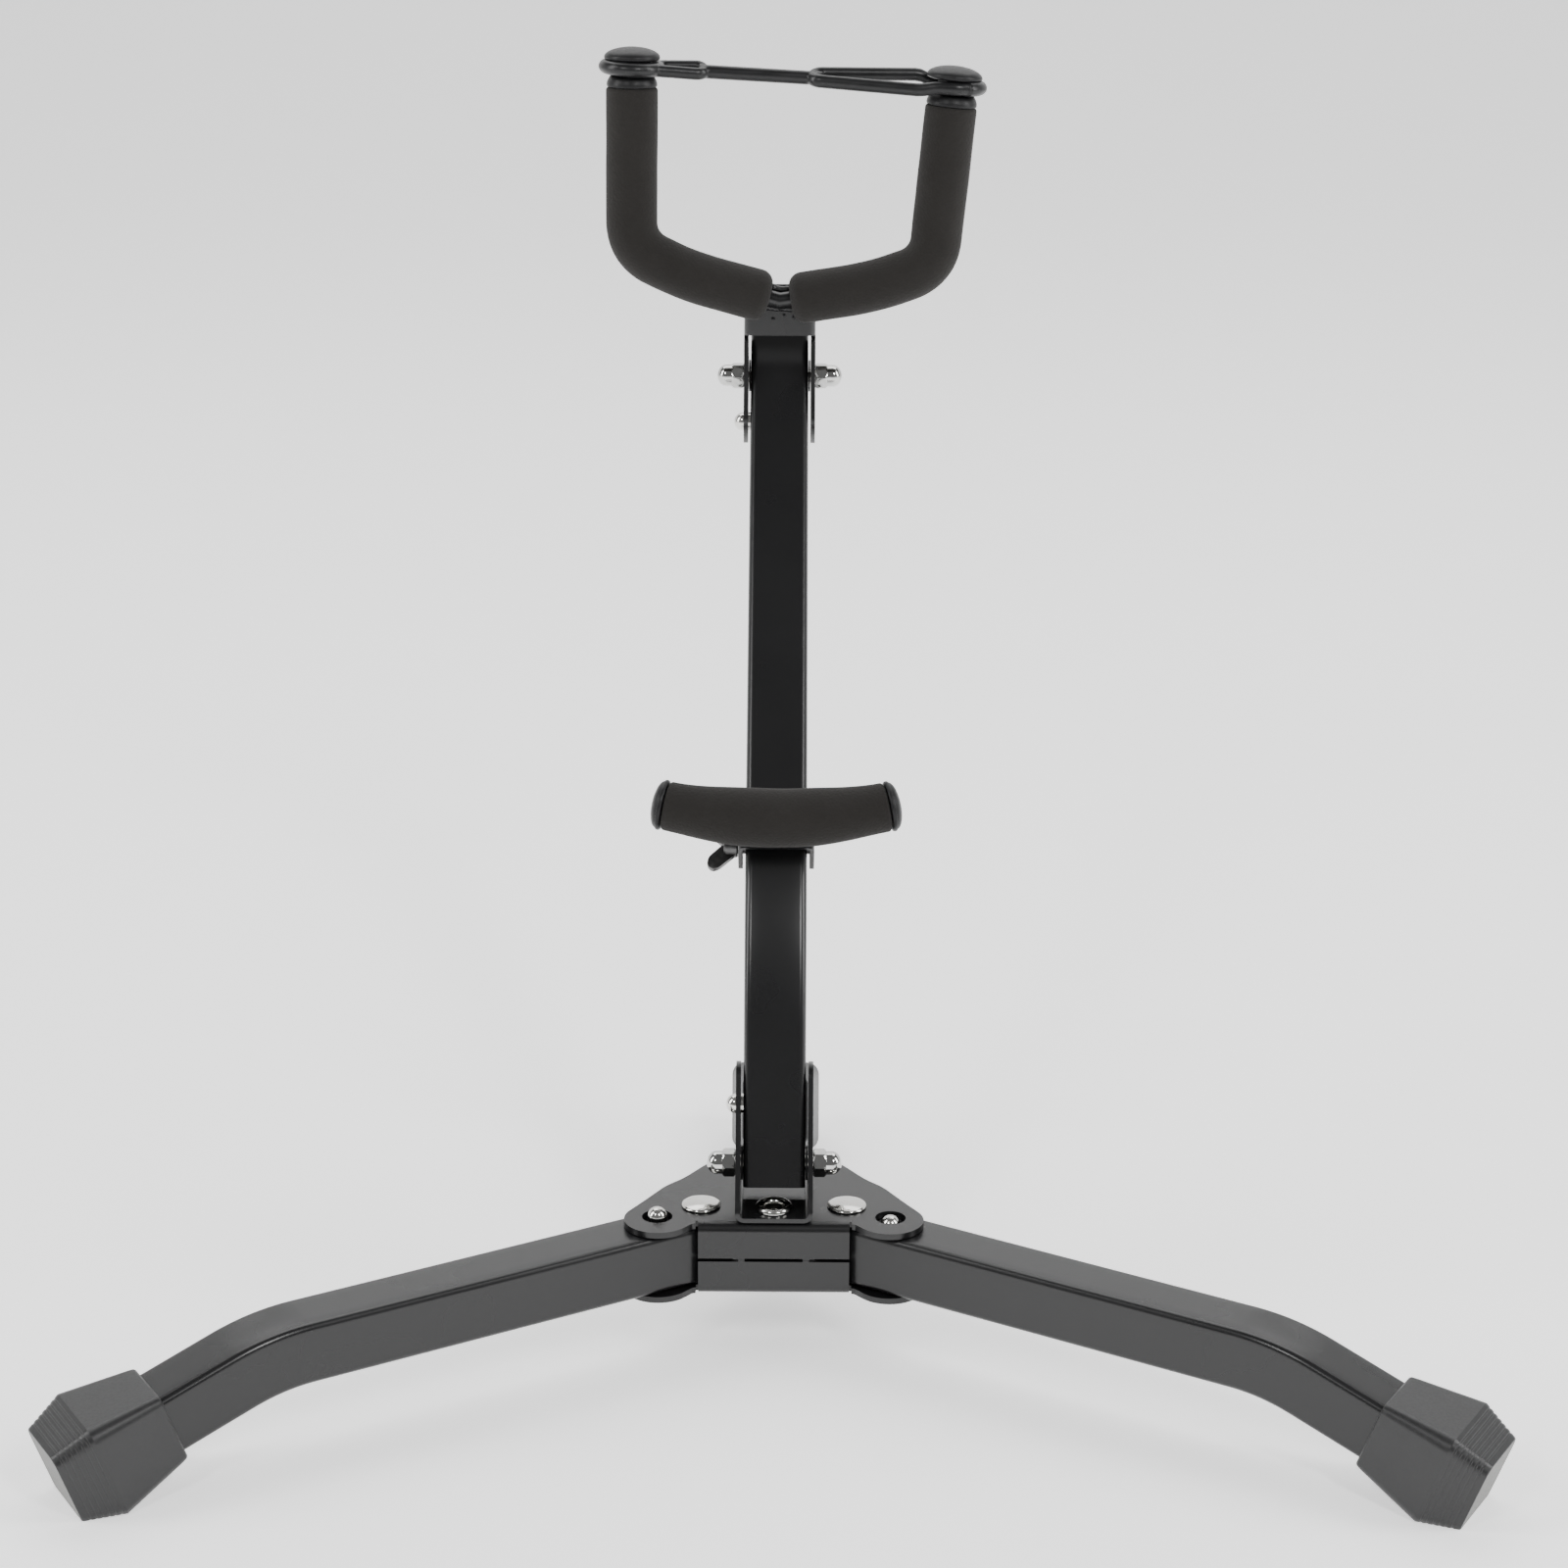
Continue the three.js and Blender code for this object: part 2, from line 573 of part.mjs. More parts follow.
function wingScrew() {
  const start = BRACKET_HALF + 0.2;
  const shank = barX(STUD_R, -start - 1, BRACKET_HALF, 0, 0);
  const boss = barX(3.6, -start - 4.6, -start, 0, 0, 20);
  const wingThick = 2.4;
  const outline = [[-0.8, 0], [-5, 0], [-9.2, 5.2], [-9.4, 8.8], [-7.4, 10.2], [-4.8, 9], [-0.8, 3.4]];
  const wing = () =>
    new THREE.ExtrudeGeometry(polygon(outline), { depth: wingThick, bevelEnabled: false })
      .translate(-start, 0, 0)
      .rotateX(Math.PI / 2)
      .translate(0, wingThick / 2, 0);
  const wings = [0, Math.PI].map((turn) => wing().rotateX(turn));
  return join(shank, boss, ...wings);
}

function cradleBarPoints(half, steps = 10) {
  const points = [];
  for (let i = 0; i <= steps; i++) {
    const x = half * ((2 * i) / steps - 1);
    points.push(v3(x, -CRADLE_FORWARD, CRADLE_RISE * (x / CRADLE_HALF) ** 2 - 1));
  }
  return points;
}

function cradleFoam() {
  const end = CRADLE_HALF - 4;
  const rings = sleeve(8, ROD_R + 0.3, cradleBarPoints(end, 8));
  const relief = barY(4.4, -CRADLE_FORWARD + 0.5, -8, 0, -1);
  return cut(rings, relief);
}

// A domed end plug pushed onto the bar's end
function cradleCap(sign) {
  const points = cradleBarPoints(CRADLE_HALF - 4, 10);
  const last = sign > 0 ? points[10] : points[0];
  const slope = Math.atan((2 * CRADLE_RISE * (CRADLE_HALF - 4)) / CRADLE_HALF ** 2);
  const plug = lathe([[0, 0.8], [3.6, 0.8], [3.6, 0.3], [8.2, 0.3], [8.2, 1.3], [7.2, 2.8], [4.6, 4], [0, 4.5]])
    .rotateY((sign * Math.PI) / 2)
    .rotateY(-sign * slope);
  return plug.translate(last.x, last.y, last.z);
}

function cradle() {
  const at = hinge.clone().add(cradleOffset());
  const g = group(stand, [0, at.y, at.z], [-POST_LEAN_TOP * RAD, 0, 0]);
  add(g, "cradle_bracket", cradleBracket(), paint());
  add(g, "cradle_wing_screw", wingScrew(), zinc());
  add(g, "cradle_arm", barY(4, -CRADLE_FORWARD + ROD_R + 0.3, -BRACKET_HALF - 0.3, 0, -1), paint());
  add(g, "cradle_bar", roundBar(ROD_R, cradleBarPoints(CRADLE_HALF - 4.3, 8)), paint());
  add(g, "cradle_foam", cradleFoam(), foam());
  add(g, "cradle_cap_left", cradleCap(-1), nylon());
  add(g, "cradle_cap_right", cradleCap(1), nylon());
}

// ---- yoke: local axes parallel to the stand's, the origin is on the upper hinge ---------------------
function yokeBracket() {
  const front = -YOKE_FORWARD - SHEET;
  const section = channel(BRACKET_HALF, 45, 80).translate(0, front, -35);
  const a = POST_LEAN_TOP * RAD;
  const u = (s, w) => [s * Math.sin(a) - w * Math.cos(a), s * Math.cos(a) + w * Math.sin(a)];
  const side = [[front, YOKE_PLATE.high], [front, 14], [-13, 4], u(-14, 9.5), u(-22, 8.2), u(-24.6, 5.5),
    u(-25.2, 0), u(-24.6, -5.5), u(-22, -8.2), u(-8, -9), [9, 5], [3, 11.5], [-4.5, 17], [-5, YOKE_PLATE.high]];
  const open = box(-BRACKET_HALF + SHEET, BRACKET_HALF - SHEET, front - 40, front + 12, -40, YOKE_PLATE.low);
  const plain = channel(BRACKET_HALF, 60, 80).translate(0, front - 12, -35);
  const ears = common(plain, across(side, 20));
  const web = common(section, box(-20, 20, front - 1, 30, YOKE_PLATE.low, YOKE_PLATE.high));
  const lower = common(ears, box(-20, 20, -60, 60, -40, YOKE_PLATE.low + 0.01));
  const upper = common(web, across(side, 20));
  const lock = u(-LOCK_FROM_HINGE, 0);
  return cut(
    join(upper, lower),
    open,
    barX(STUD_R + 0.15, -20, 20, 0, 0),
    barX(BUTTON.hole, -20, 0, ...lock),
  );
}

function yokePath(side, y, from = 0) {
  const corners = YOKE_ROUTE.map(([x, z]) => v3(side * x, y, z));
  const all = rounded(corners, YOKE_CORNERS, 5);
  return from ? clipStart(all, from) : all;
}

// Drop the path before a given distance from the middle, along X
function clipStart(points, from) {
  const [a, b] = points;
  const t = (from - Math.abs(a.x)) / (Math.abs(b.x) - Math.abs(a.x));
  return [a.clone().lerp(b, t), ...points.slice(1)];
}

function clipTop(points, z) {
  const kept = points.filter((p) => p.z < z);
  const [a, b] = [kept[kept.length - 1], points[points.length - 1]];
  return [...kept, a.clone().lerp(b, (z - a.z) / (b.z - a.z))];
}

const armTop = () => {
  const [[x0, z0], [x1, z1]] = YOKE_ROUTE.slice(2);
  const at = (z) => x0 + ((x1 - x0) * (z - z0)) / (z1 - z0);
  return { x: at, lean: Math.atan2(x1 - x0, z1 - z0) };
};

function yokeRod() {
  const left = yokePath(-1, 0).slice(1).reverse();
  return roundBar(ROD_R, clipBoth([...left, ...yokePath(1, 0)]));
}

function clipBoth(points) {
  const right = clipTop(points.slice(points.length / 2), FOAM_TOP + 8);
  const left = right.slice(1).reverse().map((p) => v3(-p.x, p.y, p.z));
  return [...left, ...right];
}

// A foam sleeve over one arm, pressed flat where it lies on the bracket plate
function yokeFoam(side, plateCut) {
  const route = clipTop(yokePath(side, 0, FOAM_FROM), FOAM_TOP);
  return cut(sleeve(FOAM_R, ROD_R + 0.3, route), plateCut);
}

function yokeCap(side) {
  const { x, lean } = armTop();
  const { collarR, neckR, domeR, collar, neck, dome } = CAP;
  const z1 = collar;
  const z2 = collar + neck;
  const cap = lathe([
    [0, 8.6], [ROD_R + 0.3, 8.6], [ROD_R + 0.3, 0.3], [collarR - 0.8, 0.3], [collarR, 1.1], [collarR, z1 - 0.6],
    [collarR - 0.8, z1], [neckR, z1], [neckR, z2], [domeR - 1, z2], [domeR, z2 + 0.8], [domeR, z2 + 1.6],
    [domeR - 1.4, z2 + 3], [domeR * 0.55, z2 + dome - 0.3], [0, z2 + dome],
  ]);
  return cap.rotateY(side * lean).translate(side * x(FOAM_TOP), 0, FOAM_TOP);
}

// A stretched rubber strap: ring round the left neck, pull tab, cord, and a long loop round the right neck
function yokeStrap() {
  const { x } = armTop();
  const z = FOAM_TOP + CAP.collar + CAP.neck / 2;
  const reach = x(z);
  const half = STRAP.thick / 2;
  const flat = { depth: STRAP.thick, bevelEnabled: false, curveSegments: 7 };
  const slab = (shape) => new THREE.ExtrudeGeometry(shape, flat).translate(0, 0, z - half);
  const ring = barZ(STRAP.ring, z - half, z + half, -reach, 0, 28);
  const tab = slab(stadium(-reach + 4, -reach + STRAP.tab, 6, 4.2));
  const cord = slab(stadium(-reach + STRAP.tab - 4, STRAP.loop + 3, STRAP.cord, STRAP.cord));
  const loop = slab(stadium(STRAP.loop, reach, 3.6, STRAP.ring));
  const slit = slab(stadium(STRAP.loop + 6, reach, 0.9, CAP.neckR + 0.3));
  const eye = barZ(CAP.neckR + 0.3, z - 9, z + 9, -reach, 0, 20);
  const tabEye = slab(stadium(-reach + 14.5, -reach + STRAP.tab - 4, 1.6, 1.6));
  const tall = (g) => g.translate(0, 0, -z).scale(1, 1, 3).translate(0, 0, z);
  return cut(join(ring, tab, cord, loop), tall(slit), eye, tall(tabEye));
}

// A rounded bar in plan between two X positions, with its own end radius at each
function stadium(x0, x1, r0, r1) {
  const tilt = Math.asin((r1 - r0) / Math.abs(x1 - x0));
  const shape = new THREE.Shape();
  shape.absarc(x1, 0, r1, -Math.PI / 2 - tilt, Math.PI / 2 + tilt, false);
  shape.absarc(x0, 0, r0, Math.PI / 2 + tilt, (3 * Math.PI) / 2 - tilt, false);
  shape.closePath();
  return shape;
}

function yoke() {
  const g = group(stand, [0, top.y, top.z]);
  add(g, "yoke_bracket", yokeBracket(), paint());
  const rodY = -YOKE_FORWARD - SHEET - ROD_R - 0.4;
  const frame = group(g, [0, rodY, YOKE_RISE], [0, YOKE_ROLL * RAD, 0]);
  add(frame, "yoke_rod", yokeRod(), paint());
  const roomBehindRod = ROD_R + 0.1;
  const plateCut = () => box(-BRACKET_HALF - 1.2, BRACKET_HALF + 1.2, roomBehindRod, 20, -30, 12);
  add(frame, "yoke_foam_left", yokeFoam(-1, plateCut()), foam());
  add(frame, "yoke_foam_right", yokeFoam(1, plateCut()), foam());
  add(frame, "yoke_cap_left", yokeCap(-1), rubber());
  add(frame, "yoke_cap_right", yokeCap(1), rubber());
  add(frame, "yoke_strap", yokeStrap(), rubber());
}

hub();
rearLeg();
frontLeg("left", -1);
frontLeg("right", 1);
post();
cradle();
yoke();

// Centre the floor box of the whole stand on the origin
stand.updateMatrixWorld(true);
const bounds = new THREE.Box3().setFromObject(stand, true);
const centre = bounds.getCenter(v3(0, 0, 0));
stand.position.set(-centre.x, -centre.y, 0);

const part = new THREE.Group();
part.add(stand);

export default part;
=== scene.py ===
import json
import math
import bmesh
import bpy
from mathutils import Matrix, Vector, noise
from mathutils.geometry import tessellate_polygon


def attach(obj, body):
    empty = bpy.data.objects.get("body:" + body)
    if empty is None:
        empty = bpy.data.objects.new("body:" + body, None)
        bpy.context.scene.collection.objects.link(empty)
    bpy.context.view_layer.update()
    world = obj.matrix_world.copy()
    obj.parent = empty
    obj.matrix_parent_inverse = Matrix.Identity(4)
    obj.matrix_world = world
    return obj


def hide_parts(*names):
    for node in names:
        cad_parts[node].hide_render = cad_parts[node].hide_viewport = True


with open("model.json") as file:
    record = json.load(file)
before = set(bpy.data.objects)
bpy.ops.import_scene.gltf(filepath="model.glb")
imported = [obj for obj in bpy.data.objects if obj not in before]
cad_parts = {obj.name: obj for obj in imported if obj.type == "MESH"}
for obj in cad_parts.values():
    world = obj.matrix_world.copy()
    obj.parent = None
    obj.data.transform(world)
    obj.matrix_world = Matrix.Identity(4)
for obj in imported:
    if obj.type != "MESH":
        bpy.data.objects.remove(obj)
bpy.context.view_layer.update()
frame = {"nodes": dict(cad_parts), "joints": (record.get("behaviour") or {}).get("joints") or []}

# ---- Hub plates ----
# Two steel pressings 2 mm thick, blanked and folded, that clasp the legs and meet edge to edge in front.
# They are powder coated black like all of the sheet and tube work. All sizes here are in millimetres, and
# the hub's are measured back from the face of its flange.
MM = 0.001
LEG_AXIS = 33.5
TUBE_HALF = 10.0
PLATE = 2.0
PLATE_GAP = 0.3
PLATE_MID = LEG_AXIS + TUBE_HALF + PLATE_GAP + PLATE / 2
PLATE_TOP = PLATE_MID + PLATE / 2
FLANGE_HALF = 24.2
SEAM_HALF = 0.55
NIB_X = 10.3
NIB_HALF = 1.0
NIB_DROP = 0.5
NOTCH_WIDTH = 0.8
NOTCH_PAST_BEND = 0.2
PLATE_BEND = 2.0
PLATE_EDGE = 0.4
BEND_STEPS = 6
EYELET_Y = 9.0
REAR_RIVET_Y = 44.0
PIVOT_FROM_FLANGE = 14.6
RIVET_HOLE = 3.3
REAR_RIVET_HOLE = 2.3
LOCK_HOLE = 4.9
LOBE = Vector((37.0, 5.0))
LOBE_RADIUS = 11.0
LOBE_FROM, LOBE_TO = -140, 30
SHOULDER = [(FLANGE_HALF + NOTCH_WIDTH, 1.2), (26.0, 1.0), (28.57, -2.07)]
BACK_EDGE = [(41.2, 19.4), (35.4, 29.8), (30.1, 35.1), (23.6, 45.2), (18, 53), (12, 56), (0, 56.6)]
LEG_SWEEP = math.radians(31)
LOCK_FROM_PIVOT = 16.2


def joint_place(name):
    """Where one of the frame's joints sits, in millimetres."""
    return Vector(next(joint["pos_m"] for joint in frame["joints"] if joint["name"] == name)) / MM


PIVOT = joint_place("right_leg_fold")
FLANGE_Y = PIVOT.y - PIVOT_FROM_FLANGE


def linear(hex_colour):
    channels = [int(hex_colour[i:i + 2], 16) / 255 for i in (1, 3, 5)]
    return tuple(c / 12.92 if c <= 0.04045 else ((c + 0.055) / 1.055) ** 2.4 for c in channels) + (1.0,)


def add_node(tree, kind, links=(), **settings):
    """Adds a shader node; settings are sockets or properties, links are (input, source socket) pairs."""
    node = tree.nodes.new(kind)
    for name, value in settings.items():
        if hasattr(node, name) and name not in node.inputs:
            setattr(node, name, value)
        else:
            node.inputs[name.replace("_", " ")].default_value = value
    for name, source in links:
        tree.links.new(source, node.inputs[name])
    return node


def new_material(name):
    """A material with an empty Principled surface and object coordinates to hang patterns on."""
    material = bpy.data.materials.new(name)
    material.use_nodes = True
    tree = material.node_tree
    tree.nodes.clear()
    place = tree.nodes.new("ShaderNodeTexCoord").outputs["Object"]
    surface = tree.nodes.new("ShaderNodeBsdfPrincipled")
    output = tree.nodes.new("ShaderNodeOutputMaterial")
    tree.links.new(surface.outputs["BSDF"], output.inputs["Surface"])
    return material, tree, place, surface


def set_surface(surface, **values):
    """Sets plain sockets of the surface; an underscore stands for the space in a socket's name."""
    for name, value in values.items():
        surface.inputs[name.replace("_", " ")].default_value = value


def grain(tree, place, size, detail=2.0, stretch=(1, 1, 1), roughness=0.5):
    """Noise whose lumps are about `size` millimetres across."""
    held = add_node(tree, "ShaderNodeMapping", [("Vector", place)], Scale=stretch)
    return add_node(tree, "ShaderNodeTexNoise", [("Vector", held.outputs["Vector"])],
                    Scale=1 / (size * MM), Detail=detail, Roughness=roughness).outputs["Fac"]


def coloured(tree, surface, pattern, first, second):
    """Lets a pattern run the base colour from one hex colour to the other."""
    mixed = add_node(tree, "ShaderNodeMix", data_type="RGBA")
    tree.links.new(pattern, mixed.inputs["Factor"])
    mixed.inputs["A"].default_value = linear(first)
    mixed.inputs["B"].default_value = linear(second)
    tree.links.new(mixed.outputs["Result"], surface.inputs["Base Color"])


def roughened(tree, surface, pattern, low, high, start=0.3, end=0.7):
    """Lets a pattern run the roughness from low to high while the pattern goes from start to end."""
    spread = add_node(tree, "ShaderNodeMapRange", [("Value", pattern)],
                      From_Min=start, From_Max=end, To_Min=low, To_Max=high)
    tree.links.new(spread.outputs["Result"], surface.inputs["Roughness"])


def bumped(tree, surface, height, strength, depth):
    """Raises the surface by a pattern, up to `depth` millimetres."""
    bump = add_node(tree, "ShaderNodeBump", [("Height", height)], Strength=strength, Distance=depth * MM)
    tree.links.new(bump.outputs["Normal"], surface.inputs["Normal"])


def patterned(name, colours, cloud, rough=None, fine=None, bump=None, rough_by="cloud", **plain):
    """A material from one or two grains: the cloud runs its colour, the finer grain its bump, and either of
    them its roughness. Plain values go straight to the surface's sockets."""
    material, tree, place, surface = new_material(name)
    grains = {"cloud": grain(tree, place, *cloud)}
    grains["fine"] = grain(tree, place, *fine) if fine else grains["cloud"]
    coloured(tree, surface, grains["cloud"], *colours)
    if rough:
        roughened(tree, surface, grains[rough_by], *rough)
    if bump:
        bumped(tree, surface, grains["fine"], *bump)
    set_surface(surface, **plain)
    return material


# Semi-gloss black polyester powder on steel: a clear reflection softened by a fine orange peel, a little
# duller in cloudy patches where hands have rubbed it.
powder_coat = patterned("powder_coat_black", ("#0F0F10", "#131314"), (45, 3), (0.24, 0.32, 0.1, 0.9),
                        fine=(1.1, 1), bump=(0.05, 0.1), IOR=1.5)


def make_piece(name, verts, faces, material, body, node=None, smooth=35):
    """A mesh object from millimetre points; it rides on a body and may stand for a CAD node."""
    mesh = bpy.data.meshes.new(name)
    mesh.from_pydata([Vector(v) * MM for v in verts], [], faces)
    return finish_piece(name, mesh, material, body, node, smooth)


def finish_piece(name, mesh, material, body, node=None, smooth=35):
    """Cleans and shades a mesh and hands it over; edges sharper than `smooth` degrees stay crisp."""
    shell = bmesh.new()
    shell.from_mesh(mesh)
    bmesh.ops.remove_doubles(shell, verts=shell.verts, dist=1e-7)
    bmesh.ops.recalc_face_normals(shell, faces=shell.faces)
    shell.to_mesh(mesh)
    shell.free()
    mesh.shade_smooth()
    mesh.set_sharp_from_angle(angle=math.radians(smooth))
    mesh.materials.append(material)
    piece = bpy.data.objects.new(name, mesh)
    bpy.context.scene.collection.objects.link(piece)
    even = piece.modifiers.new("even shading", "WEIGHTED_NORMAL")
    even.keep_sharp = True
    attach(piece, body)
    if node:
        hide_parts(node)
    return piece


def arc(centre, radius, start, end, steps):
    """Points on a circle between two angles in degrees."""
    turns = [math.radians(start + (end - start) * i / steps) for i in range(steps + 1)]
    return [Vector((centre[0] + radius * math.cos(t), centre[1] + radius * math.sin(t))) for t in turns]


def eased(points, radius, steps=5):
    """An open outline with each inner corner rounded."""
    points = [Vector(p) for p in points]
    out = [points[0]]
    for before, corner, after in zip(points, points[1:], points[2:]):
        a, b = before - corner, after - corner
        reach = min(radius, a.length * 0.48, b.length * 0.48)
        start, end = corner + a.normalized() * reach, corner + b.normalized() * reach
        for i in range(steps + 1):
            t = i / steps
            out.append(start * (1 - t) ** 2 + corner * 2 * t * (1 - t) + end * t * t)
    return out + [points[-1]]


def mirrored(half):
    """A whole outline from its right half."""
    return half + [Vector((-p.x, p.y)) for p in reversed(half)]


def sheet_blank(outline, holes, thick, edge=0.35):
    """A flat blank in X and Y, its thickness along Z about zero, with its sheared edges eased."""
    rings = [[Vector((p[0], p[1], 0)) for p in ring] for ring in [outline, *holes]]
    flat = [p for ring in rings for p in ring]
    triangles = tessellate_polygon(rings)
    shell = bmesh.new()
    half = Vector((0, 0, thick / 2))
    tops, bottoms = ([shell.verts.new(p + side * half) for p in flat] for side in (1, -1))
    for triangle in triangles:
        shell.faces.new([tops[i] for i in triangle])
        shell.faces.new([bottoms[i] for i in reversed(triangle)])
    start = 0
    rims = []
    for ring in rings:
        count = len(ring)
        for i in range(count):
            j = (i + 1) % count
            shell.faces.new([tops[start + i], bottoms[start + i], bottoms[start + j], tops[start + j]])
            rims.append((start + i, start + j))
        start += count
    bmesh.ops.recalc_face_normals(shell, faces=shell.faces)
    edges = [shell.edges.get((side[i], side[j])) for side in (tops, bottoms) for i, j in rims]
    bmesh.ops.bevel(shell, geom=edges, offset=edge, segments=2, profile=0.5, affect="EDGES",
                    clamp_overlap=True)
    return shell


def cut_lines(shell, axis, places):
    """Adds edges across the blank where it will bend."""
    for place in places:
        normal, point = Vector((0, 0, 0)), Vector((0, 0, 0))
        normal[axis], point[axis] = 1, place
        everything = shell.verts[:] + shell.edges[:] + shell.faces[:]
        bmesh.ops.bisect_plane(shell, geom=everything, plane_co=point, plane_no=normal, dist=1e-4)


def mesh_of(name, shell):
    """The mesh of a finished shell, which is then let go."""
    mesh = bpy.data.meshes.new(name)
    shell.to_mesh(mesh)
    shell.free()
    return mesh


def fold_blank(name, shell, fold, body, node):
    """Bends a blank: fold takes a point of the blank and gives its place on the finished pressing."""
    for vertex in shell.verts:
        vertex.co = fold(vertex.co) * MM
    return finish_piece(name, mesh_of(name, shell), powder_coat, body, node)


def ring_hole(x, y, radius, steps=32):
    """A closed ring for a hole in a blank."""
    return arc((x, y), radius, 360, 360 / steps, steps - 1)


def lock_hole_place(side):
    """Where the lock pin stands up through the lobe on one side, from the flange."""
    return (side * (PIVOT.x + LOCK_FROM_PIVOT * math.cos(LEG_SWEEP)),
            PIVOT_FROM_FLANGE - LOCK_FROM_PIVOT * math.sin(LEG_SWEEP))


def hub_blank():
    """Flange at the front between two relief notches, a round lobe over each leg, and a tapering back."""
    bend_length = PLATE_BEND * math.pi / 2
    flat_from = PLATE_BEND + PLATE / 2
    flange = PLATE_MID - PLATE_BEND - LEG_AXIS - SEAM_HALF
    low = flat_from - bend_length - flange
    nib = [(NIB_X - NIB_HALF, low), (NIB_X - NIB_HALF, low - NIB_DROP),
           (NIB_X + NIB_HALF, low - NIB_DROP), (NIB_X + NIB_HALF, low)]
    notch_top = flat_from + NOTCH_PAST_BEND
    notch = [(FLANGE_HALF, low), (FLANGE_HALF, notch_top), (FLANGE_HALF + NOTCH_WIDTH, notch_top)]
    shoulder = eased(SHOULDER, 1.5)[:-1]
    lobe = arc(LOBE, LOBE_RADIUS, LOBE_FROM, LOBE_TO, 28)
    back = eased([lobe[-1], *BACK_EDGE], 4)
    outline = mirrored([Vector(p) for p in nib + notch] + shoulder + lobe + back[1:-1])
    holes = [ring_hole(0, EYELET_Y, RIVET_HOLE), ring_hole(0, REAR_RIVET_Y, REAR_RIVET_HOLE)]
    for side in (-1, 1):
        holes.append(ring_hole(side * PIVOT.x, PIVOT_FROM_FLANGE, RIVET_HOLE))
        holes.append(ring_hole(*lock_hole_place(side), LOCK_HOLE, 40))
    shell = sheet_blank(outline, holes, PLATE, PLATE_EDGE)
    cut_lines(shell, 1, [flat_from - bend_length * i / BEND_STEPS for i in range(BEND_STEPS + 1)])
    return shell, flat_from, bend_length


def hub_plate(name, node, side):
    """The blank with its flange folded towards the seam: side is 1 for the upper plate, -1 for the lower."""
    shell, flat_from, bend_length = hub_blank()

    def fold(p):
        y, z = p.y, PLATE_MID + p.z
        if p.y < flat_from and abs(p.x) < FLANGE_HALF + NOTCH_WIDTH / 2:
            turn = min(flat_from - p.y, bend_length) / PLATE_BEND
            y = flat_from - (PLATE_BEND + p.z) * math.sin(turn)
            z = PLATE_MID - PLATE_BEND + (PLATE_BEND + p.z) * math.cos(turn)
            z -= max(flat_from - p.y - bend_length, 0)
        return Vector((p.x, y + FLANGE_Y, LEG_AXIS + side * (z - LEG_AXIS)))

    return fold_blank(name, shell, fold, "hub", node)


hub_plate("hub_plate_upper", "hub_top_plate", 1)
hub_plate("hub_plate_lower", "hub_bottom_plate", -1)


# ---- Legs ----
# Square steel tube 20 x 20 mm, bent down near the foot. The wall sinks a little on the outside of the bend
# and puckers on the inside, as it does when tube is bent over a former.
WALL = 1.5
CORNER = 2.3
CROWN_HALF = TUBE_HALF - 1.5
FACE_FROM = TUBE_HALF - 2.5
LEG_INNER = 6.0
LEG_BEND_RADIUS = 70.0
LEG_BEND = math.radians(19)
LEG_BEND_STEPS = 18
LEG_TAIL = 49.5
LEG_SUNK = 0.55
LEG_PUCKER = 0.9
FRONT_STRAIGHT = 139.0
REAR_STRAIGHT = 91.6


def square_section(half, corner, side_points=5, corner_steps=5):
    """A rounded square as (across, up) pairs, anticlockwise, with spare points along the flats."""
    out = []
    flat = half - corner
    for quarter in range(4):
        turn = Matrix.Rotation(quarter * math.pi / 2, 2)
        rim = arc((flat, flat), corner, 0, 90, corner_steps)
        run = [Vector((flat - 2 * flat * i / side_points, half)) for i in range(1, side_points)]
        out += [turn @ p for p in rim + run]
    return out


def path_frames(path, normal):
    """For each point of a flat path: the point, the plane's normal and the direction up from the path."""
    frames = []
    for i, point in enumerate(path):
        before = (point - path[i - 1]).normalized() if i else Vector((0, 0, 0))
        after = (path[i + 1] - point).normalized() if i < len(path) - 1 else Vector((0, 0, 0))
        heading = (before + after).normalized()
        frames.append((point, normal, normal.cross(heading).normalized()))
    return frames


def loft_rings(rings, closed=False):
    """Faces between rings of equal length; the end rings are capped unless the loft closes on itself."""
    count = len(rings[0])
    verts = [p for ring in rings for p in ring]
    faces = []
    last = len(rings) if closed else len(rings) - 1
    for r in range(last):
        a, b = r * count, ((r + 1) % len(rings)) * count
        faces += [(a + i, a + (i + 1) % count, b + (i + 1) % count, b + i) for i in range(count)]
    if not closed:
        faces += [tuple(range(count - 1, -1, -1)), tuple(range(len(verts) - count, len(verts)))]
    return verts, faces


def square_tube(frames, sink):
    """A tube with open ends; sink(i) is how far the bend's outer and inner faces move in at point i."""
    outer = square_section(TUBE_HALF, CORNER)
    inner = square_section(TUBE_HALF - WALL, CORNER - WALL)
    rings = []
    for section, order in ((outer, range(len(frames))), (inner, reversed(range(len(frames))))):
        for i in order:
            point, across, up = frames[i]
            ring = []
            for p in section:
                crown = max(0.0, 1 - (p.x / CROWN_HALF) ** 2)
                top, bottom = sink(i)
                lift = p.y - crown * (top if p.y > 0 else -bottom) * (abs(p.y) > FACE_FROM)
                ring.append(point + across * p.x + up * lift)
            rings.append(ring)
    return loft_rings(rings, closed=True)


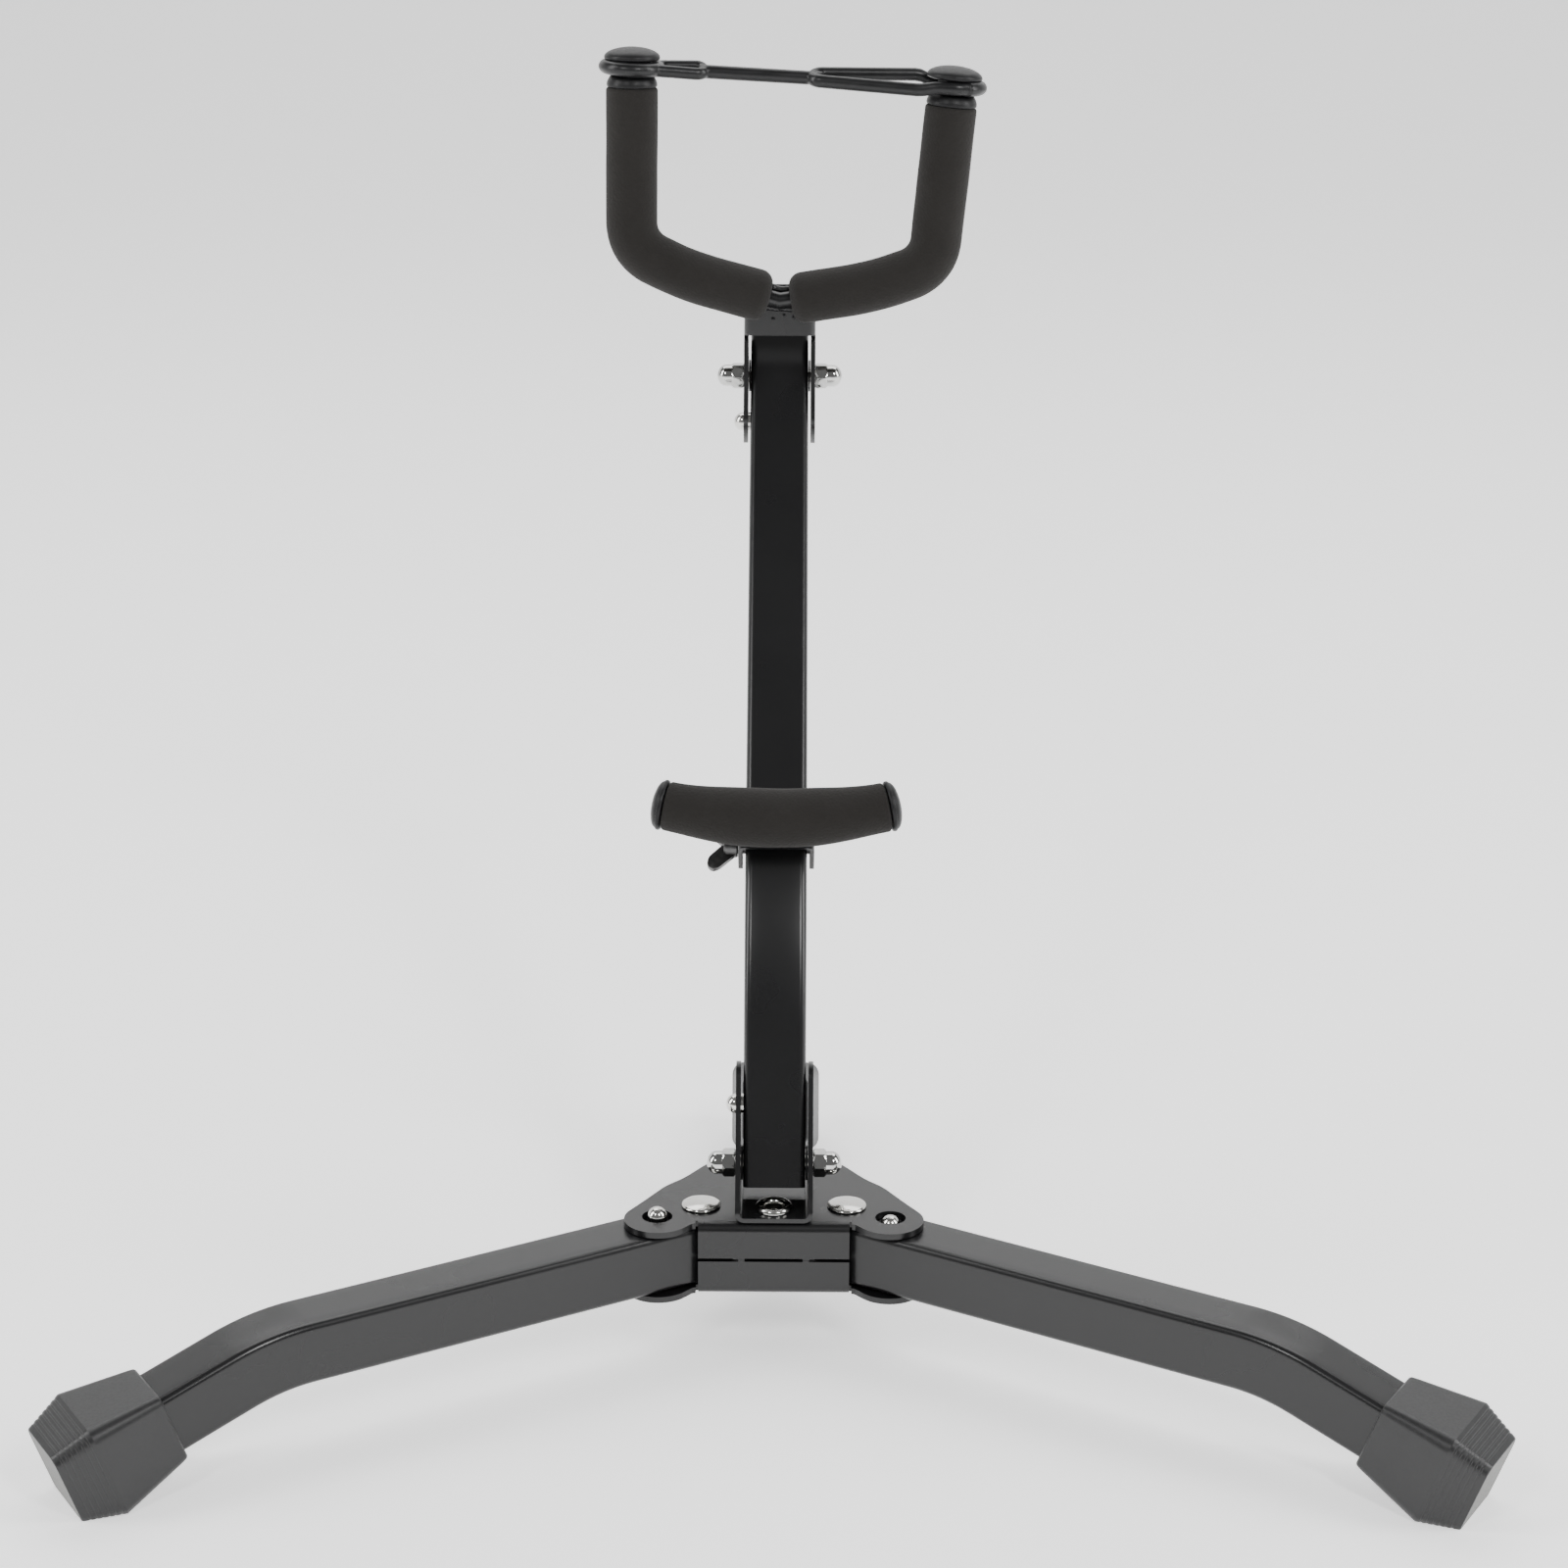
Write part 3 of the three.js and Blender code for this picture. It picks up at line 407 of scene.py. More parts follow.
def leg_path(straight):
    """From the inner end, out along X, round the bend and down to the foot, in the leg's own frame."""
    path = [Vector((x, 0, 0)) for x in (-LEG_INNER, 0, straight * 0.5, straight - 12, straight - 4)]
    for i in range(LEG_BEND_STEPS + 1):
        turn = LEG_BEND * i / LEG_BEND_STEPS
        drop = LEG_BEND_RADIUS * (1 - math.cos(turn))
        path.append(Vector((straight + LEG_BEND_RADIUS * math.sin(turn), 0, -drop)))
    tail = Vector((math.cos(LEG_BEND), 0, -math.sin(LEG_BEND)))
    bend_end = path[-1].copy()
    return path + [bend_end + tail * d for d in (4, 12, LEG_TAIL)]


def leg_frame(heading, place):
    """Carries a leg's own frame to its place under the hub."""
    return Matrix.Translation(place) @ Matrix.Rotation(heading, 4, "Z")


def bend_weight(i, first, last):
    """0 on the straights, rising to 1 in the middle of a bend."""
    t = (i - first + 1) / (last - first + 2)
    return math.sin(math.pi * min(max(t, 0), 1)) ** 2


def leg_tube(name, node, body, place, heading, straight):
    frames = path_frames(leg_path(straight), Vector((0, -1, 0)))
    verts, faces = square_tube(
        frames, lambda i: (LEG_SUNK * bend_weight(i, 4, 24), LEG_PUCKER * bend_weight(i, 8, 20)))
    at = leg_frame(heading, place)
    return make_piece(name, [at @ v for v in verts], faces, powder_coat, body, node)


LEGS = {
    "left": ("left_leg", Vector((-PIVOT.x, PIVOT.y, LEG_AXIS)), math.pi + LEG_SWEEP, FRONT_STRAIGHT),
    "right": ("right_leg", Vector((PIVOT.x, PIVOT.y, LEG_AXIS)), -LEG_SWEEP, FRONT_STRAIGHT),
    "rear": ("hub", Vector((0, FLANGE_Y + EYELET_Y, LEG_AXIS)), math.pi / 2, REAR_STRAIGHT),
}
for leg, (body, place, heading, straight) in LEGS.items():
    leg_tube(f"{leg}_leg", f"{leg}_leg_tube", body, place, heading, straight)


# ---- Feet ----
# Moulded rubber boots pushed over the tube ends: a swelling sleeve, a grooved taper, a grained end face
# and a flat sole.
FOOT_LENGTH = 35.5
FOOT_WIDEST = 23.0
FOOT_SOCKET = 26.0
FOOT_HALF = (12.0, 16.0, 12.5)
FOOT_CORNER = (2.8, 4.4, 3.6)
FOOT_ROWS = 12
FOOT_LIP = TUBE_HALF + 0.4
GROOVES = 6
GROOVE_DEPTH = 0.14
END_FACING = 0.98
END_AREA = 1e-4


# Black moulded rubber: satin, greyed by a fine bloom, with the tool's matt grain in it. The boots' end faces
# are the same rubber with a spark-eroded grain; their light grey colour is painted light, the brightness they
# catch.
foot_rubber = patterned("foot_rubber_black", ("#121213", "#19191A"), (12, 4), (0.34, 0.44),
                        fine=(0.9, 2), bump=(0.12, 0.12), rough_by="fine", IOR=1.52)
foot_end_painted_light = patterned("foot_rubber_end_painted_light", ("#6A6A69", "#8C8C8A"), (1.3, 3, (1, 1, 1), 0.7),
                         bump=(0.5, 0.4), Roughness=0.8)


def foot_outline():
    """Rows along the boot: (distance from the mouth, how far the row is sunk)."""
    out = [(FOOT_WIDEST * i / (FOOT_ROWS - 1), 0) for i in range(FOOT_ROWS)]
    step = (FOOT_LENGTH - FOOT_WIDEST - 2.2) / GROOVES
    for g in range(GROOVES):
        x = FOOT_WIDEST + 1.2 + g * step
        out += [(x, 0), (x + 0.25, GROOVE_DEPTH), (x + 0.6, GROOVE_DEPTH), (x + 0.85, 0)]
    out += [(FOOT_LENGTH - 0.4, 0), (FOOT_LENGTH - 0.1, 0.15), (FOOT_LENGTH, 0.5)]
    return out


def foot_size(x):
    """Half width and corner radius at a distance from the mouth."""
    if x < FOOT_WIDEST:
        t = x / FOOT_WIDEST
        first, second = 0, 1
    else:
        t = (x - FOOT_WIDEST) / (FOOT_LENGTH - FOOT_WIDEST)
        first, second = 1, 2
    return [values[first] * (1 - t) + values[second] * t for values in (FOOT_HALF, FOOT_CORNER)]


def add_skin(shell, verts, faces, scale=1.0):
    """Adds points and faces to a shell."""
    made = [shell.verts.new(v * scale) for v in verts]
    for face in faces:
        shell.faces.new([made[i] for i in face])


def foot(name, node, body, place, heading, straight):
    """A boot lofted along the tube's end and cut flat where it stands on the floor."""
    end = leg_path(straight)[-1]
    tail = Vector((math.cos(LEG_BEND), 0, -math.sin(LEG_BEND)))
    mouth = end - tail * (FOOT_SOCKET - 1)
    at = leg_frame(heading, place) @ Matrix.Translation(mouth) @ Matrix.Rotation(LEG_BEND, 4, "Y")
    sections = [(6.0, FOOT_LIP, CORNER), (0.6, FOOT_LIP, CORNER), (0.0, FOOT_LIP + 0.5, CORNER),
                (0.0, FOOT_HALF[0] - 0.5, 2.2)]
    for x, sunk in foot_outline():
        half, corner = foot_size(x)
        sections.append((x + (0.5 if x == 0 else 0), half - sunk, corner))
    rings = [[at @ Vector((x, p.x, p.y)) for p in square_section(half, corner, 4, 6)]
             for x, half, corner in sections]
    shell = bmesh.new()
    add_skin(shell, *loft_rings(rings), MM)
    everything = shell.verts[:] + shell.edges[:] + shell.faces[:]
    cut = bmesh.ops.bisect_plane(shell, geom=everything, dist=1e-7, plane_co=(0, 0, 0), plane_no=(0, 0, -1),
                                 clear_outer=True)
    open_edges = [e for e in cut["geom_cut"] if isinstance(e, bmesh.types.BMEdge)]
    bmesh.ops.holes_fill(shell, edges=open_edges)
    piece = finish_piece(name, mesh_of(name, shell), foot_rubber, body, node, 24)
    piece.data.materials.append(foot_end_painted_light)
    # The end faces take the second material, whose light grey colour is painted light on the same black
    # rubber.
    outward = (at.to_3x3() @ Vector((1, 0, 0))).normalized()
    for face in piece.data.polygons:
        if face.normal.dot(outward) > END_FACING and face.area > END_AREA:
            face.material_index = 1
    return piece


for leg, (body, place, heading, straight) in LEGS.items():
    foot(f"{leg}_boot", f"{leg}_foot", body, place, heading, straight)


# ---- Rivets and eyelet ----
# Bright zinc-plated steel: two broad-headed pivot rivets, a small one at the back and a hollow eyelet,
# all set through both plates.
# The plating is a mirror with a faint haze and hairline handling marks.
HAIRLINES = {"fine": (0.5, 3, (1, 0.08, 1), 0.7), "bump": (0.06, 0.08)}
bright_zinc = patterned("bright_zinc_plate", ("#E4E3DF", "#C9C8C4"), (3, 3), (0.10, 0.18),
                        Metallic=1.0, **HAIRLINES)
HUB_BOTTOM = LEG_AXIS - TUBE_HALF - PLATE_GAP - PLATE
AXIS = 0.02
RIVET_TAIL = 1.2


def full_turn(steps):
    """Angles evenly round a circle."""
    return [2 * math.pi * i / steps for i in range(steps)]


def turned(profile, place=(0, 0, 0), sides=48, roll=None, closed=False):
    """Points and faces of a solid turned about Z; the profile is (radius, distance) pairs from end to end."""
    at = Matrix.Translation(place) @ (roll or Matrix.Identity(4))
    rings = [[at @ Vector((radius * math.cos(t), radius * math.sin(t), distance)) for t in full_turn(sides)]
             for radius, distance in profile]
    return loft_rings(rings, closed)


def dome_profile(radius, height, steps, start):
    """The upper part of a profile, from the rim to nearly the axis."""
    turns = [math.pi / 2 * i / steps for i in range(1, steps + 1)]
    return [(max(radius * math.cos(t), AXIS), start + height * math.sin(t)) for t in turns]


def rivet(name, node, x, y, shank, head, height):
    """A shank through both plates with a closed tail below and a broad, low, domed head above."""
    low, top = HUB_BOTTOM - RIVET_TAIL, PLATE_TOP
    tail = [(AXIS, low), (shank + 1.3, low), (shank + 1.8, low + 0.4),
            (shank + 1.8, HUB_BOTTOM - 0.15), (shank, HUB_BOTTOM - 0.1)]
    rim = [(shank, top + 0.1), (head - 0.3, top + 0.1), (head, top + 0.35), (head, top + 0.6),
           (head - 0.25, top + 0.95), (head * 0.86, top + 0.62 * height), (head * 0.6, top + 0.86 * height)]
    crown = [(head * 0.3, top + 0.97 * height), (AXIS, top + height)]
    verts, faces = turned(tail + rim + crown, Vector((x, FLANGE_Y + y, 0)))
    return make_piece(name, verts, faces, bright_zinc, "hub", node, 40)


for side, sign in (("left", -1), ("right", 1)):
    rivet(f"{side}_pivot_rivet", f"{side}_leg_pivot_rivet", sign * PIVOT.x, PIVOT_FROM_FLANGE, 3.0, 6.3, 1.9)
rivet("rear_rivet", "rear_leg_rivet", 0, REAR_RIVET_Y, 2.0, 3.6, 1.0)

BRACKET_SHEET = 1.5
BRACKET_TOP = PLATE_TOP + PLATE_GAP + BRACKET_SHEET
EYELET_BORE = 3.1
EYELET_WALL = 3.25
EYELET_ROLL = 1.5
EYELET_RIM = 6.1


def centre_eyelet():
    """A tube set through bracket, plates and rear leg, its upper rim rolled over."""
    low = HUB_BOTTOM - RIVET_TAIL
    middle, height = EYELET_RIM - EYELET_ROLL, BRACKET_TOP + 0.3
    rolled = [(middle + EYELET_ROLL * math.cos(t), height + EYELET_ROLL * math.sin(t))
              for t in [math.pi * (i / 10) for i in range(11)]]
    tail = [(EYELET_BORE, low), (4.6, low), (4.8, low + 0.7), (EYELET_WALL, HUB_BOTTOM - 0.1)]
    profile = tail + [(EYELET_WALL, BRACKET_TOP + 0.1)] + rolled + [(EYELET_BORE - 0.15, BRACKET_TOP - 0.4)]
    verts, faces = turned(profile, Vector((0, FLANGE_Y + EYELET_Y, 0)), closed=True)
    return make_piece("hub_eyelet", verts, faces, bright_zinc, "hub", "centre_eyelet", 40)


centre_eyelet()


# ---- Leg locks ----
# A bright pin with a ball end stands up through each lobe's hole, on a spring steel leaf inside the leg.
BUTTON_RADIUS = 3.2
BUTTON_COLLAR = 4.5
BUTTON_FROM = -1.4
BUTTON_PROUD = 3.2
RIGHT_PIN_LOWER = 2.4


def lock_button(name, node, body, place, roll, reach):
    """The pin starts inside the tube wall at `place` and points along the rolled Z axis."""
    profile = [(AXIS, BUTTON_FROM), (BUTTON_COLLAR - 0.3, BUTTON_FROM), (BUTTON_COLLAR, -1.1),
               (BUTTON_COLLAR, -0.35), (BUTTON_RADIUS, -0.3), (BUTTON_RADIUS, reach)]
    profile += dome_profile(BUTTON_RADIUS, BUTTON_PROUD, 9, reach)
    verts, faces = turned(profile, place, roll=roll)
    return make_piece(name, verts, faces, bright_zinc, body, node, 40)


for side, sign in (("left", -1), ("right", 1)):
    x, y = lock_hole_place(sign)
    wall = LEG_AXIS + TUBE_HALF - WALL
    reach = WALL + PLATE_GAP + PLATE - (RIGHT_PIN_LOWER if sign > 0 else 0)
    lock_button(f"{side}_leg_button", f"{side}_leg_lock_button", f"{side}_leg_lock",
                Vector((x, FLANGE_Y + y, wall)), Matrix.Identity(4), reach)


# Hardened and tempered strip: dull grey, brushed along its length.
spring_steel = patterned("spring_steel_strip", ("#7C7974", "#9A9792"), (0.8, 3, (1, 0.1, 1)), (0.35, 0.5),
                         Metallic=1.0)


def coat_node(node, material):
    """Gives a CAD node that stays as it is its finish."""
    mesh = frame["nodes"][node].data
    mesh.materials.clear()
    mesh.materials.append(material)


for node in ("left_leg_lock_spring", "right_leg_lock_spring", "post_lock_spring", "yoke_lock_spring"):
    coat_node(node, spring_steel)


# ---- Folded brackets ----
# Three channels of 1.5 mm steel straddle the post: one on the hub, one under the yoke, one behind the cradle.
# Each is blanked, pierced, folded along two lines and powder coated.
BRACKET_HALF = 12.4
BRACKET_ROUND = 3.0
BRACKET_BEND = BRACKET_ROUND - BRACKET_SHEET / 2
BRACKET_FLAT = BRACKET_HALF - BRACKET_ROUND
BRACKET_LENGTH = BRACKET_BEND * math.pi / 2
EAR_FROM = BRACKET_FLAT + BRACKET_LENGTH
STUD = 2.45
STUD_HOLE = STUD + 0.15
BUTTON_HOLE = BUTTON_RADIUS + 0.3
LOCK_FROM_HINGE = 19.0
LOW_HINGE = joint_place("post_fold")
HIGH_HINGE = joint_place("yoke_fold")
CRADLE_PIN = joint_place("cradle_tilt")
UPPER_LEAN = math.atan2(HIGH_HINGE.y - CRADLE_PIN.y, HIGH_HINGE.z - CRADLE_PIN.z)
LOWER_LEAN = math.radians(18)


def channel_place(u, w):
    """Across the blank to (x, depth from the web's middle); w is towards the inside of the channel."""
    side = 1 if u >= 0 else -1
    turn = min(max(abs(u) - BRACKET_FLAT, 0), BRACKET_LENGTH) / BRACKET_BEND
    x = BRACKET_FLAT + (BRACKET_BEND - w) * math.sin(turn) if turn else abs(u)
    depth = BRACKET_BEND - (BRACKET_BEND - w) * math.cos(turn) + max(abs(u) - EAR_FROM, 0)
    return side * x, depth


def ear_u(depth):
    """Where on the blank a point of the ear lies that is `depth` behind the web's middle."""
    return EAR_FROM + depth - BRACKET_BEND


def bend_lines(shell):
    """Lines across a bracket's blank, close enough for its two folds to come out round."""
    folds = [BRACKET_FLAT + BRACKET_LENGTH * i / BEND_STEPS for i in range(BEND_STEPS + 1)]
    cut_lines(shell, 0, [s * fold for fold in folds for s in (-1, 1)])


def leaning(origin, lean):
    """Places in the (y, z) plane measured along and in front of a leaning post."""
    def at(along, front):
        return (origin[0] + along * math.sin(lean) - front * math.cos(lean),
                origin[1] + along * math.cos(lean) + front * math.sin(lean))
    return at


def ear_holes(stud, lock):
    """Holes for the stud through both ears, and for the lock button through the left one."""
    both = [ring_hole(s * stud.x, stud.y, STUD_HOLE, 24) for s in (-1, 1)]
    return both + [ring_hole(-lock.x, lock.y, BUTTON_HOLE, 24)]


def post_bracket():
    """Web on the hub, its front corners round; two ears stand beside the post."""
    hinge = (LOW_HINGE.y - FLANGE_Y, LOW_HINGE.z)
    at = leaning(hinge, LOWER_LEAN)
    mid = PLATE_TOP + PLATE_GAP + BRACKET_SHEET / 2
    corner = BRACKET_FLAT + 1.2

    def on_ear(point):
        return Vector((ear_u(point[1] - mid), point[0]))

    ear = [at(28, 9.6), at(31.8, 7.4), at(33, 3), at(32.6, -4), at(30, -8.6), at(16, -9),
           (34, 60), (34, mid + 3)]
    front = eased([(0, 1), (EAR_FROM + 0.6, 1), on_ear((3.0, mid + 6)), on_ear(ear[0])], 5)
    top = eased([on_ear(p) for p in ear], 3.5)
    half = front[:-1] + top + [Vector((corner, 34)), Vector((corner, 15.6))]
    holes = [ring_hole(0, EYELET_Y, RIVET_HOLE), *ear_holes(on_ear(hinge), on_ear(at(LOCK_FROM_HINGE, 0)))]
    shell = sheet_blank(mirrored(half[1:]), holes, BRACKET_SHEET)
    bend_lines(shell)

    def fold(p):
        x, depth = channel_place(p.x, p.z)
        return Vector((x, p.y + FLANGE_Y, mid + depth))

    return fold_blank("post_foot_bracket", shell, fold, "hub", "post_bracket")


YOKE_FORWARD = 10.0
YOKE_PLATE = (16.2, 34.0)
YOKE_SLIT = 0.7


def yoke_bracket():
    """Web behind the yoke's rod, slit from the ears below so that they can follow the post's front."""
    at = leaning((0, 0), UPPER_LEAN)
    web_mid = -YOKE_FORWARD - BRACKET_SHEET / 2
    low, high = YOKE_PLATE

    def on_ear(point):
        return Vector((ear_u(point[0] - web_mid), point[1]))

    ear = [(-11.5, 14), (-13, 4), at(-14, 9.5), at(-22, 8.2), at(-24.6, 5.5), at(-25.2, 0), at(-24.6, -5.5),
           at(-22, -8.2), at(-8, -9), (9, 5), (3, 11.5), (-4.5, 17), (-5, high)]
    edge = eased([on_ear(p) for p in ear], 4)
    web = [Vector((EAR_FROM + 0.2, low)), Vector((EAR_FROM + 0.2, low - YOKE_SLIT))]
    holes = ear_holes(on_ear((0, 0)), on_ear(at(-LOCK_FROM_HINGE, 0)))
    shell = sheet_blank(mirrored(web + edge), holes, BRACKET_SHEET)
    bend_lines(shell)

    def fold(p):
        if p.y > low - YOKE_SLIT / 2:
            x, depth = channel_place(p.x, p.z)
        else:
            side = 1 if p.x > 0 else -1
            x, depth = side * (BRACKET_FLAT + BRACKET_BEND - p.z), abs(p.x) - EAR_FROM + BRACKET_BEND
        return HIGH_HINGE + Vector((x, web_mid + depth, p.y))

    return fold_blank("yoke_saddle", shell, fold, "yoke", "yoke_bracket")


CRADLE_SPIN = Matrix.Translation(CRADLE_PIN) @ Matrix.Rotation(-UPPER_LEAN, 4, "X")
CRADLE_BRACKET_HALF = 6.2
CRADLE_EAR = 8.0


def cradle_bracket():
    """A short channel across the post's front with rounded ears, pinned through the post."""
    web_mid = -BRACKET_HALF + BRACKET_SHEET / 2
    h = CRADLE_BRACKET_HALF
    back = ear_u(CRADLE_EAR - web_mid)
    half = eased([(0, -h), (back - 2, -h), (back, 0), (back - 2, h), (0, h)], 4)
    holes = [ring_hole(s * ear_u(-web_mid), 0, STUD_HOLE, 24) for s in (-1, 1)]
    shell = sheet_blank(mirrored(half[1:-1]), holes, BRACKET_SHEET)
    bend_lines(shell)

    def fold(p):
        x, depth = channel_place(p.x, p.z)
        return CRADLE_SPIN @ Vector((x, web_mid + depth, p.y))

    return fold_blank("cradle_clamp", shell, fold, "cradle", "cradle_bracket")


post_bracket()
yoke_bracket()
cradle_bracket()


# ---- Hinge studs, acorn nuts and washers ----
# M5 studs with chromed acorn nuts, 8 mm across flats, and thin nylon washers beside the post.
# The chrome is clearer and cooler than the zinc plate; the nylon is slightly waxy, with faint flow marks.
chrome = patterned("chromed_nut", ("#CFCFCD", "#B4B4B2"), (3, 3), (0.05, 0.13), Metallic=1.0, **HAIRLINES)
nylon = patterned("nylon_black", ("#1B1B1C", "#232324"), (2, 3, (1, 1, 0.3)), (0.4, 0.55))
NUT_FLATS = 8.0
NUT_HEX = 4.2
NUT_DOME = 5.2
NUT_DOME_RADIUS = 3.8
NUT_DOME_HEIGHT = 3.3
NUT_CHAMFERS = ((0.86, 0.0), (1.0, 0.5), (1.0, NUT_HEX - 0.6), (0.87, NUT_HEX))


def acorn_nut(name, node, body, place, sign):
    """A chamfered hexagon with a waisted collar and a high dome."""
    start = BRACKET_HALF + 0.15
    corner = NUT_FLATS / math.sqrt(3)
    rings = []

    def add_ring(distance, radius_at):
        rings.append([Vector((sign * distance, radius_at(t) * math.sin(t), radius_at(t) * math.cos(t)))
                      for t in full_turn(48)])

    def hexagon(turn):
        to_flat = (turn + math.pi / 6) % (math.pi / 3) - math.pi / 6
        return NUT_FLATS / 2 / math.cos(to_flat)

    for shrink, distance in NUT_CHAMFERS:
        add_ring(start + distance, lambda t: min(hexagon(t), corner * shrink))
    dome_from = start + NUT_HEX + NUT_DOME - NUT_DOME_HEIGHT - 0.1
    collar = [(NUT_DOME_RADIUS, start + NUT_HEX + 0.05), (NUT_DOME_RADIUS, dome_from)]
    for radius, distance in collar + dome_profile(NUT_DOME_RADIUS, NUT_DOME_HEIGHT, 10, dome_from):
        add_ring(distance, lambda t: radius)
    verts, faces = loft_rings(rings)
    return make_piece(name, [place + v for v in verts], faces, chrome, body, node, 30)


for prefix, body, place in (("post", "hub", LOW_HINGE), ("yoke", "post", HIGH_HINGE)):
    for side, sign in (("left", -1), ("right", 1)):
        acorn_nut(f"{prefix}_nut_{side}", f"{prefix}_hinge_acorn_nut_{side}", body, place, sign)
        coat_node(f"{prefix}_hinge_washer_{side}", nylon)
    coat_node(f"{prefix}_hinge_stud", bright_zinc)


# ---- Post ----
# The same square tube as the legs, bent back above the hub; its front sinks slightly round the bend. Two
# sprung lock buttons look out through its left wall.
POST_BELOW = 7.0
POST_ABOVE = 12.2
POST_LOWER = 74.5
POST_BEND_RADIUS = 150.0
POST_BEND_STEPS = 20
POST_SUNK = 1.3
POST_SWOLLEN = 0.25


def along_post(lean, distance):
    return Vector((0, math.sin(lean), math.cos(lean))) * distance


def post_path():
    """Straight, an arc round the knee, straight; from the lower end to the upper."""
    knee = LOW_HINGE + along_post(LOWER_LEAN, POST_LOWER)
    half = (UPPER_LEAN - LOWER_LEAN) / 2
    reach = POST_BEND_RADIUS * math.tan(half)
    start, end = knee - along_post(LOWER_LEAN, reach), knee + along_post(UPPER_LEAN, reach)
    inward = Vector((0, math.cos(LOWER_LEAN), -math.sin(LOWER_LEAN)))
    centre = start + inward * POST_BEND_RADIUS
    bend = []
    for i in range(POST_BEND_STEPS + 1):
        lean = LOWER_LEAN + 2 * half * i / POST_BEND_STEPS
        bend.append(centre + Vector((0, -math.cos(lean), math.sin(lean))) * POST_BEND_RADIUS)
    low = LOW_HINGE - along_post(LOWER_LEAN, POST_BELOW)
    high = HIGH_HINGE + along_post(UPPER_LEAN, POST_ABOVE)
    near = [start - along_post(LOWER_LEAN, d) for d in (14, 5)]
    far = [end + along_post(UPPER_LEAN, d) for d in (5, 14)]
    return [low, *near, *bend, *far, high]


def post_tube():
    path = post_path()
    frames = [(point, Vector((-1, 0, 0)), -up) for point, _, up in path_frames(path, Vector((1, 0, 0)))]

    def sink(i):
        weight = bend_weight(i, 1, len(path) - 2)
        return POST_SUNK * weight, -POST_SWOLLEN * weight

    verts, faces = square_tube(frames, sink)
    return make_piece("post", verts, faces, powder_coat, "post", "post_tube")


post_tube()
for prefix, hinge, lean, along in (("post", LOW_HINGE, LOWER_LEAN, 1), ("yoke", HIGH_HINGE, UPPER_LEAN, -1)):
    at = hinge + along_post(lean, along * LOCK_FROM_HINGE) + Vector((-(TUBE_HALF - WALL), 0, 0))
    lock_button(f"{prefix}_button", f"{prefix}_lock_button", f"{prefix}_lock", at,
                Matrix.Rotation(-math.pi / 2, 4, "Y"), WALL + 1 + BRACKET_SHEET)


# ---- Cradle ----
# A short curved bar in a foam sleeve with a domed plug at each end, held out from the clamp on a stub arm.
# The wing screw through the clamp and post sets its tilt.
CRADLE_FORWARD = 23.8
CRADLE_HALF = 39.5
CRADLE_RISE = 5.2
CRADLE_DROP = 1.0
CRADLE_FOAM_END = CRADLE_HALF - 4
CRADLE_FOAM_RADIUS = 8.0
CRADLE_FOAM_SWELL = 1.5
SLEEVE_BORE = 3.2
CELL = 0.9


def foam_material():
    """Closed-cell neoprene foam: quite matt, a warm black, peppered with fine cells. The cells are drawn
    about twice their real size, so that they show."""
    material, tree, place, surface = new_material("neoprene_foam_black")
    cloud = grain(tree, place, 14, 4)
    cells = add_node(tree, "ShaderNodeTexVoronoi", [("Vector", place)],
                     Scale=1 / (CELL * MM)).outputs["Distance"]
    coloured(tree, surface, cloud, "#1A1816", "#211F1D")
    set_surface(surface, Roughness=0.95)
    set_surface(surface, Specular_IOR_Level=0.25, Sheen_Weight=0.05, Sheen_Roughness=0.6)
    bumped(tree, surface, cells, 0.35, 0.3)
    return material


foam = foam_material()


def foam_sleeve(name, node, body, frames, radius_at, press, sides=40):
    """A soft sleeve over a rod: radius_at(i) is its radius at each point, and press bends points off a
    neighbour."""
    rings = []
    for i, (point, across, up) in enumerate(frames):
        ring = []
        for t in full_turn(sides):
            direction = across * math.cos(t) + up * math.sin(t)
            soft = 1 + 0.012 * noise.noise((point + direction * 9) * 0.09)
            ring.append(press(point, point + direction * radius_at(i) * soft))
        rings.append(ring)
    verts, faces = loft_rings(rings)
    piece = make_piece(name, verts, faces, foam, body, node, 60)
    return piece


def sleeve_ends(path, length, first, last):
    """Adds close points at both ends of a path and gives how much of the radius each point loses there;
    first and last are the radii of the rounded ends."""
    total = [0.0]
    for a, b in zip(path, path[1:]):
        total.append(total[-1] + (b - a).length)
    full = total[-1]

    def point_at(distance):
        for i in range(1, len(total)):
            if distance <= total[i] + 1e-9:
                t = (distance - total[i - 1]) / (total[i] - total[i - 1])
                return path[i - 1].lerp(path[i], t)
        return path[-1].copy()

    quarter = [1 - math.cos(math.pi / 2 * k / 7) for k in range(8)]
    middle = [first + (full - first - last) * k / length for k in range(1, length)]
    places = [first * q for q in quarter] + middle + [full - last * q for q in reversed(quarter)]
    inset = []
    for d in places:
        radius, edge = (first, d) if d < full / 2 else (last, full - d)
        inset.append(radius - math.sqrt(max(radius ** 2 - max(radius - edge, 0) ** 2, 0)))
    return [point_at(d) for d in places], inset, places, full


def cradle_place(x):
    """The bar's middle line: a shallow curve whose ends rise."""
    return Vector((x, -CRADLE_FORWARD, CRADLE_RISE * (x / CRADLE_HALF) ** 2 - CRADLE_DROP))


